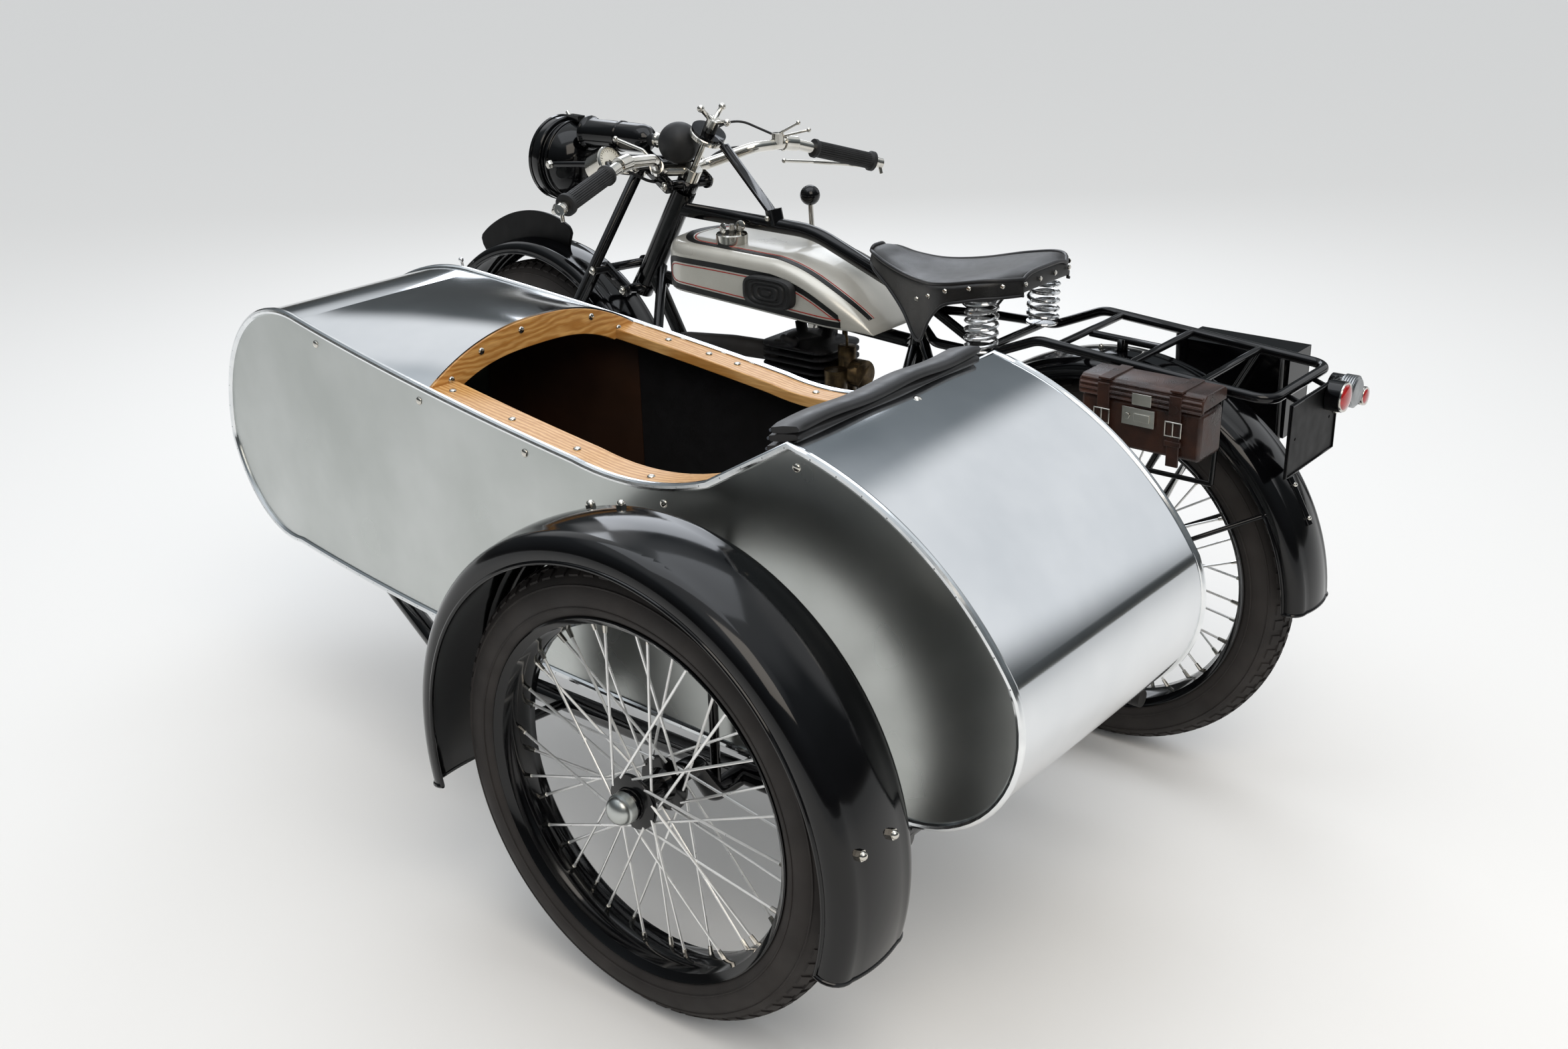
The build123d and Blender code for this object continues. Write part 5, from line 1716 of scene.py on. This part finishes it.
@dataclass
class Fasteners:
    """Nickel screws, studs and domed nuts, one mesh per body."""

    @staticmethod
    def gather(heads: Sequence[Head], name: str, body: Body = Body.FRAME) -> None:
        """Makes one piece of many heads.

        Args:
            heads: The heads.
            name: The piece's name.
            body: The body that carries them.
        """
        draft = Draft()
        for head in heads:
            shape = dome_nut(head.radius) if head.nut else dome(head.radius, head.radius * 0.5, 14)
            turn = Vector(head.aim).to_track_quat("Z", "Y").to_matrix()
            draft.add([Vector(head.spot) + turn @ s for s in shape.spots], shape.faces)
        Piece.make(draft, name, NICKEL, body=body)

    def sidecar(self) -> list[Head]:
        """Screws of the wood, studs for the cover, and the bolts of the tail."""
        body = SidecarBody()
        top = body.upper()
        heads = []
        for side, inset, xs in ((1, 28, (674, 538, 402, 259, 60)),
                                (-1, 26, (608, 522, 463, 303, 120))):
            heads += [Head((x, body.side_y(x, side, inset), body.height(top, x) + 1.8), (0, 0, 1),
                           6.0) for x in xs]
        for y, z in ((762, 769), (677, 783), (522, 769), (826, 739), (460, 735)):
            heads.append(Head((body.bow_x - 0.2, y, z), (-1, 0, 0), 6.0))
        for side in (1, -1):
            for x in (1010, 725, 483, 211, -20):
                spot = (x, body.side_y(x, side) + side * 0.3, body.height(top, x) - 24)
                heads.append(Head(spot, (0, side, 0), 6.5))
        heads.append(Head((-28, 632, 794.8), (-0.45, 0, 0.89), 6.5))
        return heads

    @staticmethod
    def outward(axle: Spot, r: float, deg: float, y: float, size: float) -> Head:
        """A domed nut at a radius from an axle and y beside it, pointing away from the axle."""
        turn = math.radians(deg)
        return Head(around(axle, r, deg, y), (math.cos(turn), 0, math.sin(turn)), size, True)

    def guard_heads(self) -> list[Head]:
        """Domed nuts through the guards."""
        heads = [self.outward(SIDE_AXLE, r, deg, y, 7.5) for r, deg, y in (
            (384, 72.5, -41), (384, 81, -41), (384, 169, 41), (387.5, 169, -17))]
        return heads + [self.outward(REAR_HUB, 371, deg, 0, 5.5) for deg in (146.6, 155.4, 84, 96)]

    @staticmethod
    def machine() -> list[Head]:
        """Nuts of the engine plates, the timing chest, the carrier and the tank strap."""
        heads = []
        spots = ((540, 250), (552, 392), (436, 426), (396, 330), (838, 330), (745, 252), (752, 392),
                 (820, 394))
        for side in (1, -1):
            for x, z in spots:
                heads.append(Head((x, side * 54, z), (0, side, 0), 7.0, True))
        for k in range(9):
            turn = math.tau * k / 9 + 0.3
            heads.append(Head((650 + 72 * math.cos(turn), -87, 345 + 72 * math.sin(turn)),
                              (0, -1, 0), 4.0))
        for side in (1, -1):
            heads.append(Head((0, side * 88, WHEEL_R), (0, side, 0), 12.0, True))
            for x in (60, -70, -190):
                z = 727 - (x - 60) * -0.068
                heads.append(Head((x, side * 110, z + 5), (0, 0, 1), 4.6))
        heads += [Head((734, side * 16, 836), (0, side, 0), 6.0, True) for side in (1, -1)]
        return heads

    @staticmethod
    def steering() -> list[Head]:
        """Nuts of the fork spindles and the front axle."""
        heads = []
        for side in (1, -1):
            for z, ahead in ((654, 68), (875, 62)):
                x, _, height = head_point(z, ahead)
                heads.append(Head((x, side * 82, height), (0, side, 0), 9.0, True))
            for z in (654, 875):
                x, _, height = head_point(z)
                heads.append(Head((x, side * 55, height), (0, side, 0), 9.0, True))
            heads.append(Head((WHEELBASE, side * 98, WHEEL_R), (0, side, 0), 12.0, True))
        return heads

    def build(self) -> None:
        """Builds every fastener."""
        self.gather(self.sidecar(), "sidecar_studs")
        self.gather(self.guard_heads(), "guard_nuts")
        self.gather(self.machine(), "machine_nuts")
        self.gather(self.steering(), "fork_nuts", Body.STEERING)


@dataclass
class Controls:
    """Handlebar, levers, cables, grips, horn, headlamp, dial, front plate and the gear ball."""

    grip_in: Spot = (868.0, 268.0, 927.3)
    grip_out: Spot = (824.0, 402.0, 893.0)
    levers_at: Flat = (887.0, -186.0)
    lamp_spot: Spot = (1228.0, 0.0, 885.0)
    arm_x: float = 1262.0
    glass_x: float = 1325.6
    glass_r: float = 74.0

    def bar(self) -> None:
        """The nickel bar in one smooth bend, its post, clamps, levers and the damper's rod."""
        half = [(965, 60, 903), (897, 130, 938), (885, 215, 941), (821, 411, 890.5)]
        corners = [*reversed(half), head_point(898, 8), *((x, -y, z) for x, y, z in half)]
        bar = Draft().tube(rounded(corners, [40, 40, 28, 50, 28, 40, 40], 14), 11, 28)
        Piece.make(bar, "handlebar_tube", NICKEL, body=Body.STEERING, replaces=["handlebar"],
                   crease_deg=60)
        parts = Draft().rod((887, 203, 942), (880, 232, 938), 15, sides=36)
        parts.rod((885, 219, 940), (909, 224, 926), 6.5, sides=20)
        parts.rod((823, 405, 892), (817, 421, 888), 10.5, sides=28)
        blade = rounded([(818, 417, 889), (842, 412, 882), (872, 385, 884), (905, 310, 892),
                         (924, 244, 898)], [12, 24, 40], 8)
        parts.tube(blade, [6.0 - 2.6 * k / (len(blade) - 1) for k in range(len(blade))], 16)
        parts.ball(blade[-1], 5.2).rod((819, 415, 889), (813, 416, 868), 3.6)
        parts.mirrored()
        parts.rod(head_point(884), head_point(908), 18, sides=40)
        parts.rod(head_point(908), head_point(972), 6, sides=20)
        x, y = self.levers_at
        parts.rod((x, y, 941), (x, y, 962), 12, sides=32)
        for z, tip in ((959, (845, -200, 984)), (953, (838, -223, 969))):
            parts.rod((x, y, z), tip, 2.6, sides=12).ball(tip, 4.6)
        parts.rod((955, 71, 908), (938, 88, 917), 14, sides=32)
        parts.tube(rounded([(948, 80, 920), (972, 92, 944), (1018, 120, 963)], [14], 6), 3.0, 12)
        parts.ball((1018, 120, 963), 5.2)
        Piece.make(parts, "handlebar_controls", NICKEL, body=Body.STEERING, bevel_mm=1.2)

    def cables(self) -> None:
        """Black control cables from the levers to the steering head, fixed at both ends."""
        runs = Draft().tube(rounded([(909, 224, 926), (1010, 150, 925), (990, 60, 880),
                                     (950, 14, 876)], [60, 40], 10), 3.0, 12).mirrored()
        runs.tube(rounded([(*self.levers_at, 955), (965, -150, 985), (1000, -60, 950),
                           (968, -12, 872)], [50, 50], 10), 2.4, 12)
        runs.tube(rounded([(950, 82, 916), (1000, 70, 925), (1010, 30, 890), (962, 16, 868)],
                          [26, 26], 10), 2.4, 12)
        Piece.make(runs, "control_cables", MOULDED_RUBBER, body=Body.STEERING)

    def headlamp(self) -> None:
        """Domed shell of the headlamp with its bands, on two arms, and their nuts."""
        profile = [(0, 0), (22, 1.6), (42, 7), (58, 17), (69, 31), (75, 47), (76, 52), (80, 53),
                   (81, 56), (80, 60), (76.5, 61), (76.5, 71), (83, 72), (86, 75), (86, 99),
                   (84, 103), (77, 103), (76, 97), (0, 97)]
        shell = Draft().lathe(profile, self.lamp_spot, (1, 0, 0), 88)
        shell.block((self.arm_x, 1300), (-9, 9), (962, 975))
        z = self.lamp_spot[2]
        arms = Draft().rod(head_point(878, 66, 56), (self.arm_x, 80, z), 6, sides=20).mirrored()
        Piece.make(shell, "headlamp_shell", BLACK_ENAMEL, body=Body.STEERING, replaces=["headlamp"],
                   bevel_mm=1.0)
        Piece.make(arms, "headlamp_arms", BLACK_ENAMEL, body=Body.STEERING)
        nuts = Draft().lathe([(0, 0), (9, 0), (9, 5), (6, 8), (0, 9)], (self.arm_x, 84, z),
                             (0, 1, 0), 6).mirrored()
        nuts.rod((1300, 0, 971), (1308, 0, 979), 4, sides=16)
        Piece.make(nuts, "headlamp_nuts", NICKEL, body=Body.STEERING)

    @staticmethod
    def horn() -> None:
        """The horn's turned body with beads and open mouth, its foot and the bulb's ferrule."""
        profile = [(0, 0), (11, 0), (13, 4), (20, 8), (25.5, 16), (28, 29), (28.5, 84), (30.4, 86),
                   (30.4, 90), (28.5, 92), (28.5, 176), (30, 180), (34, 184), (34.5, 187),
                   (33, 190), (29, 190), (26, 160), (0, 158)]
        body = Draft().lathe(profile, (1035, 12, 951), (1, 0, -0.03), 64)
        body.rod((1060, 12, 930), (1003, 12, 906), 7, sides=20)
        Piece.make(body, "horn_body", BLACK_ENAMEL, body=Body.STEERING, replaces=["horn"])
        ferrule = Draft().lathe([(12, 0), (15, 1), (15.5, 5), (13, 8), (13, 18), (15.5, 21),
                                 (15, 26), (12, 27)], (993, 12, 952), (1, 0, 0), 40, True)
        Piece.make(ferrule, "horn_ferrule", NICKEL, body=Body.STEERING)

    def grips(self) -> None:
        """Ribbed rubber grips with a collar at each end."""
        draft = Draft()
        start, end = Vector(self.grip_in), Vector(self.grip_out)
        along = (end - start).normalized()
        across = along.orthogonal().normalized()
        up = along.cross(across)
        rings = []
        for share, rib, plain in ((0.0, 0, 18.5), (0.04, 0, 19), (0.06, 0, 17), (0.08, 1, 16.5),
                                  (0.9, 1, 16.5), (0.92, 0, 17), (0.94, 0, 20), (0.99, 0, 20),
                                  (1.0, 0, 17)):
            ring = []
            for k in range(72):
                turn = math.tau * k / 72
                r = plain - (1.3 if rib and k % 3 == 0 else 0.0)
                ring.append(start + (end - start) * share
                            + (across * math.cos(turn) + up * math.sin(turn)) * r)
            rings.append(ring)
        draft.rings(rings).mirrored()
        Piece.make(draft, "grips_ribbed", MOULDED_RUBBER, body=Body.STEERING, replaces=["grips"],
                   crease_deg=25)

    def dial(self) -> None:
        """Bezel, opal face, marks and needle of the instrument."""
        base, aim = Vector((1110, 56, 905)), Vector((-0.894, 0, 0.447))
        side, up = Vector((0, 1, 0)), Vector((0.447, 0, 0.894))
        bezel = Draft().lathe([(25, -1), (31, -1), (31.5, 1), (30, 4), (27, 4.5), (25.5, 2)], base,
                              aim, 48, True)
        Piece.make(bezel, "dial_bezel", NICKEL, body=Body.STEERING)
        face = Draft().lathe([(0, 0.8), (26, 0.8), (26, -0.5), (0, -0.5)], base, aim, 48)
        Piece.make(face, "dial_face", DIAL_WHITE, body=Body.STEERING)
        marks = Draft()
        for k in range(21):
            turn = math.radians(-135 + 270 * k / 20)
            out = side * math.sin(turn) + up * math.cos(turn)
            near = 18 if k % 5 == 0 else 20.5
            marks.rod(base + out * near + aim * 1.0, base + out * 23.5 + aim * 1.0, 0.5, sides=5)
        out = side * math.sin(-2.2) + up * math.cos(-2.2)
        marks.rod(base - out * 4 + aim * 1.4, base + out * 19 + aim * 1.4, 0.9, 0.3, 6)
        Piece.make(marks, "dial_marks", BLACK_ENAMEL, body=Body.STEERING)

    def lamp(self) -> None:
        """Reflector, fluted glass and bright bezel of the headlamp."""
        r, z = self.glass_r, self.lamp_spot[2]
        base = (self.glass_x, 0, z)
        bright = Draft().lathe([(0, 0.2), (38, 0.6), (75, 1.6), (75, 0), (0, 0)], base, (1, 0, 0),
                               64)
        Piece.make(bright, "lamp_reflector", POLISHED_SHEET, body=Body.STEERING, slot=Slot.NICKEL)
        rings = []
        for x in (0.0, 3.0):
            rings.append([(1327.5 + x + (1.0 if k % 2 and x else 0.0),
                           r * math.cos(math.tau * k / 96), z + r * math.sin(math.tau * k / 96))
                          for k in range(96)])
        flutes = Draft().rings(rings)
        for k in range(-12, 13):
            y = k * 5.8
            high = math.sqrt((r - 2) ** 2 - y * y)
            flutes.rod((1330.6, y, z - high), (1330.6, y, z + high), 2.2, sides=8)
        Piece.make(flutes, "lamp_flutes", clear_glass(), body=Body.STEERING, slot=Slot.LAMP_GLASS,
                   replaces=["headlamp_lens"])
        rim = Draft().lathe([(73, 4), (76, 6.5), (84, 7), (87, 4), (87, -3), (84, -4), (73, 0)],
                            base, (1, 0, 0), 72, True)
        Piece.make(rim, "lamp_bezel", BLACK_ENAMEL, body=Body.STEERING)

    @staticmethod
    def plate() -> None:
        """The blank number plate arched over the front guard, and the nickel stay end beside it."""
        def on_guard(deg: float, r: float) -> Flat:
            turn = math.radians(deg)
            return (WHEELBASE + r * math.cos(turn), WHEEL_R + r * math.sin(turn))

        tops = ((55.5, 414), (57, 423), (68, 431), (80, 434), (92, 430), (100, 420), (101.5, 411))
        line = [on_guard(deg, flowing(tops, deg)) for deg in range(56, 102)]
        outline = [on_guard(55.5, 404), *line, on_guard(101.6, 408)]
        outline += [on_guard(deg, 374) for deg in range(101, 55, -3)]
        plate = Draft().slab([(x, -3.4, z) for x, z in outline], (0, 6.8, 0))
        Piece.make(plate, "front_plate", PLATE_BLACK, body=Body.STEERING, bevel_mm=1.2)
        foot, tip = around(FRONT_HUB, 336, 49.6, 60), around(FRONT_HUB, 384, 52.5, 61)
        stay = Draft().rod(foot, tip, 3.4).ball(tip, 6.0)
        Piece.make(stay, "guard_stay_end", CHROME, body=Body.STEERING)

    def ball(self) -> None:
        """Black ball of the gear lever."""
        ball = Draft().ball((753, -134.5, 851), 19.6, 28)
        Piece.make(ball, "gear_ball", BLACK_ENAMEL, slot=Slot.BLACK_RUBBER, crease_deg=180)

    def build(self) -> None:
        """Builds the controls."""
        self.bar()
        self.cables()
        self.headlamp()
        self.horn()
        self.grips()
        self.dial()
        self.lamp()
        self.plate()
        self.ball()


@cache
def clear_glass() -> bpy.types.Material:
    """Pressed lamp glass, clear with a faint green body."""
    mix = Mixture("pressed_glass")
    wave = mix.bump(mix.noise(14, detail=1.0), 0.1)
    return mix.shade(Base_Color=linear("#EEF5F0"), Transmission_Weight=1.0, Roughness=0.03,
                     IOR=1.48, Normal=wave)


@dataclass
class Exhaust:
    """The swept pipe in front of the engine, with its collar, silencer, tail pipe and strap."""

    pipe_r: float = 19.0
    box_r: float = 37.0

    def build(self) -> None:
        """Builds the exhaust."""
        route = rounded([(684, 26, 587), (790, 62, 594), (934, 90, 586), (948, 104, 470),
                         (905, 128, 184), (330, 128, 165)], [60, 62, 90, 70], 12)
        draft = Draft().tube(route, self.pipe_r, 28)
        draft.tube([(330, 128, 165.2), (352, 128, 165.7)], 23, 32)
        shell = [(0, -24), (17, -24), (19, -20), (self.box_r - 3, 0), (self.box_r, 4),
                 (self.box_r, 10), (self.box_r + 1.4, 12), (self.box_r + 1.4, 18), (self.box_r, 20),
                 (self.box_r, 336), (self.box_r + 1.4, 338), (self.box_r + 1.4, 344),
                 (self.box_r, 346), (self.box_r - 3, 352), (17, 372), (0, 372)]
        draft.lathe(shell, (348, 128, 165.4), (-1, 0, -0.021), 56)
        draft.tube([(0, 128, 158), (-140, 128, 155)], 15, 28)
        draft.rod((180, 122, 195), (180, 76, 318), 6, sides=16)
        draft.lathe([(19, -8), (24, -8), (25, -6), (25, 6), (24, 8), (19, 8)], (702, 33, 588.5),
                    (0.94, 0.33, 0.07), 36, True)
        Piece.make(draft, "exhaust_swept", PIPE_BLACK, replaces=["exhaust"])


@dataclass
class TailEnd:
    """Glasses, rims, drum and ribbed cap of the tail lamps, the plate's rim and the strap."""

    plate_x: float = -338.0

    def build(self) -> None:
        """Builds the lamps and the rims."""
        back = self.plate_x
        glass, rims, drum, caps = Draft(), Draft(), Draft(), Draft()
        for y, z, x, r in ((-40, 679, -363, 21), (-135, 655, -360, 12.5)):
            turns = [math.pi / 2 * k / 6 for k in range(7)]
            profile = [(r * math.cos(t), r * 0.3 * math.sin(t)) for t in turns]
            glass.lathe([(0, -3), (r, -3), *profile], (x, y, z), (-1, 0, 0), 36)
            rims.lathe([(r - 1, -6), (r + 2, -6), (r + 3, -2), (r + 2, 1.2), (r - 1, 1)], (x, y, z),
                       (-1, 0, 0), 44, True)
        drum.lathe([(0, 0), (22, 0), (24.5, 2), (24.5, 24), (22, 26.5), (0, 26.5)],
                   (-337, -40, 679), (-1, 0, 0), 56)
        ridges = [(0, 0), (24.6, 0)]
        for k in range(5):
            ridges += [(26.0, 2.0 + 4 * k), (26.0, 4.0 + 4 * k), (24.2, 4.8 + 4 * k),
                       (24.2, 5.4 + 4 * k)]
        caps.lathe([*ridges, (21, 24), (0, 25)], (back, -97, 672), (-1, 0, 0), 48)
        rims.lathe([(9.5, 0), (9.5, 3), (7.5, 7), (4, 9.6), (0, 10.4)], (back, -70, 650),
                   (-1, 0, 0), 28)
        Piece.make(glass, "tail_glasses", RED_GLASS)
        Piece.make(rims, "tail_lamp_rims", NICKEL)
        Piece.make(drum, "stop_lamp_drum", BLACK_ENAMEL)
        Piece.make(caps, "tail_lamp_cap", DULL_ALLOY)
        edge = Draft()
        corners = [(back, 103, 698), (back, -73, 698), (back, -73, 584), (back, 103, 584)]
        edge.tube(corners, 1.6, 8, closed=True)
        foot, tip = around(REAR_HUB, 372, 144.5, 0), around(REAR_HUB, 372, 157, 0)
        edge.rod(foot, tip, 6, sides=20)
        Piece.make(edge, "rear_plate_rim", BLACK_ENAMEL)


@dataclass
class Stage:
    """Floor, world, lights and the camera, set as in the photo."""

    lens_px: float = 2528.0
    photo_wide_px: float = 2343.0
    spot: Spot = (-1257.0, 2424.0, 1514.0)
    yaw: float = -0.885
    pitch: float = 0.393
    roll: float = -0.023
    floor_reach: float = 60.0
    sky: tuple[tuple[float, str], ...] = (
        (0.0, "#62625F"), (0.06, "#424444"), (0.35, "#606568"), (0.6, "#7F868B"), (0.76, "#DDE3E8"),
        (1.0, "#F4F7FA"))
    panels: tuple[tuple[Spot, float, float], ...] = (
        ((-0.252, -0.856, 0.453), 0.9, 0.955), ((0.76, -0.35, 0.54), 0.93, 0.98))

    def floor(self) -> None:
        """A pale plain floor."""
        mesh = bpy.data.meshes.new("floor")
        reach = self.floor_reach
        corners = [(-reach, -reach, 0), (reach, -reach, 0), (reach, reach, 0), (-reach, reach, 0)]
        mesh.from_pydata(corners, [], [(0, 1, 2, 3)])
        mesh.materials.append(Mixture("pale_floor").shade(Base_Color=linear("#F0EFEC"),
                                                          Roughness=0.85))
        linked("floor", mesh)

    def world(self) -> None:
        """Pale to the camera, even on matt surfaces, a dark rim and two panels on what shines."""
        world = bpy.data.worlds.new("studio")
        bpy.context.scene.world = world
        world.use_nodes = True
        world.node_tree.nodes.clear()
        graph = Graph(world.node_tree)
        toward = graph.node("ShaderNodeTexCoord").outputs["Generated"]
        height = graph.node("ShaderNodeSeparateXYZ", n0=toward).outputs["Z"]
        ramp = graph.node("ShaderNodeValToRGB", n0=height)
        stops = ramp.color_ramp.elements
        for stop, (at, colour) in zip(stops, (self.sky[0], self.sky[-1])):
            stop.position, stop.color = at, linear(colour)
        for at, colour in self.sky[1:-1]:
            stops.new(at).color = linear(colour)
        glow = ramp.outputs[0]
        for aim, edge, full in self.panels:
            near = graph.node("ShaderNodeVectorMath", {"operation": "DOT_PRODUCT"}, n0=toward,
                              n1=aim)
            share = graph.node("ShaderNodeMapRange", {"interpolation_type": "SMOOTHSTEP"},
                               Value=near.outputs["Value"], From_Min=edge, From_Max=full)
            mixed = graph.node("ShaderNodeMix", {"data_type": "RGBA"}, n0=share.outputs["Result"],
                               n1=glow, n2=linear(self.sky[-1][1]))
            glow = mixed.outputs[2]
        ray = graph.node("ShaderNodeLightPath").outputs
        shine, even, seen = (graph.node("ShaderNodeBackground", n0=colour, n1=strength).outputs[0]
                             for colour, strength in ((glow, 0.95), (linear("#EDEFF2"), 0.92),
                                                      (linear("#DCDCDA"), 1.0)))
        lit = graph.node("ShaderNodeMixShader", n0=ray["Is Diffuse Ray"], n1=shine, n2=even)
        both = graph.node("ShaderNodeMixShader", n0=ray["Is Camera Ray"], n1=lit.outputs[0],
                          n2=seen)
        graph.node("ShaderNodeOutputWorld", n0=both.outputs[0])

    @staticmethod
    def lamp(name: str, spot: Spot, aim: Spot, size: Flat, watts: float, colour: str) -> None:
        """A soft rectangular lamp aimed at a spot."""
        data = bpy.data.lights.new(name, "AREA")
        data.shape, data.size, data.size_y = "RECTANGLE", size[0], size[1]
        data.energy, data.color = watts, linear(colour)[:3]
        lamp = linked(name, data)
        lamp.location = place(*spot)
        lamp.rotation_euler = (place(*aim) - place(*spot)).to_track_quat("-Z", "Y").to_euler()

    def camera(self) -> None:
        """The camera at the photo's angle."""
        along = Vector((math.cos(self.yaw) * math.cos(self.pitch),
                        math.sin(self.yaw) * math.cos(self.pitch), -math.sin(self.pitch)))
        level = along.cross(Vector((0, 0, 1))).normalized()
        upright = level.cross(along)
        right = math.cos(self.roll) * level + math.sin(self.roll) * upright
        up = -math.sin(self.roll) * level + math.cos(self.roll) * upright
        data = bpy.data.cameras.new("photo")
        data.sensor_width = 36.0
        data.lens = self.lens_px / self.photo_wide_px * 36.0
        data.clip_end = 200.0
        camera = linked("photo", data)
        turn = Matrix((right, up, -along)).transposed().to_4x4()
        camera.matrix_world = Matrix.Translation(place(*self.spot)) @ turn
        bpy.context.scene.camera = camera

    def build(self) -> None:
        """Sets the stage."""
        self.floor()
        self.world()
        self.lamp("key", (-1700, 1900, 3200), (500, 500, 400), (2.2, 2.2), 42, "#FFF4E6")
        self.lamp("top", (700, 300, 3300), (500, 500, 300), (3.0, 2.0), 26, "#F2F7FF")
        self.lamp("rim", (2600, -2200, 2400), (600, 200, 600), (2.2, 1.6), 32, "#F2F7FF")
        self.camera()
        bpy.context.scene.view_settings.view_transform = "Standard"


CAD_FINISHES = (
    CadFinish("frame_tubes", BLACK_ENAMEL),
    CadFinish("carrier", BLACK_ENAMEL),
    CadFinish("toolbox", BLACK_ENAMEL),
    CadFinish("toolbox_door", BLACK_ENAMEL, Body.TOOLBOX_DOOR),
    CadFinish("tail_lamp", BLACK_ENAMEL, slot=Slot.LAMP_GLASS),
    CadFinish("rear_plate", PLATE_BLACK),
    CadFinish("crankcase", DARK_CASTING),
    CadFinish("cylinder", BLACK_IRON),
    CadFinish("magneto", BLACK_IRON, slot=Slot.BLACK_ENAMEL),
    CadFinish("carburettor", BRONZE),
    CadFinish("gearbox", DARK_CASTING),
    CadFinish("primary_chaincase", BLACK_ENAMEL),
    CadFinish("footrests", MOULDED_RUBBER),
    CadFinish("gear_lever", NICKEL),
    CadFinish("damper_strut", BLACK_ENAMEL),
    CadFinish("forks", BLACK_ENAMEL, Body.STEERING),
    CadFinish("horn_bulb", MOULDED_RUBBER, Body.STEERING),
    CadFinish("instrument", NICKEL, Body.STEERING),
    CadFinish("damper_knob", NICKEL, Body.STEERING),
    CadFinish("sidecar_chassis", BLACK_ENAMEL, back_x=-168.0),
)


def main() -> None:
    """Builds the outfit piece by piece, then the stage."""
    logging.basicConfig(level=logging.INFO, format="%(message)s")
    builders = (
        SidecarBody(),
        Wheel("side", SIDE_AXLE, Body.SIDE_WHEEL, cap=True),
        Wheel("rear", REAR_HUB, Body.REAR_WHEEL, sprocket=True),
        Wheel("front", FRONT_HUB, Body.FRONT_WHEEL),
        Guard("side_guard", SIDE_AXLE, Body.FRAME, -13, 196, 388, 75, 40),
        Guard("rear_guard", REAR_HUB, Body.FRAME, 40, 178, 372, 62, 34),
        Guard("front_guard", FRONT_HUB, Body.STEERING, 5, 165, 378, 56, 28),
        Chain(), Tank(), Saddle(), Luggage(), Controls(), Exhaust(), TailEnd(), Fasteners(),
        *CAD_FINISHES,
    )
    for builder in builders:
        builder.build()
    Stage().build()


if __name__ == "__main__":
    main()
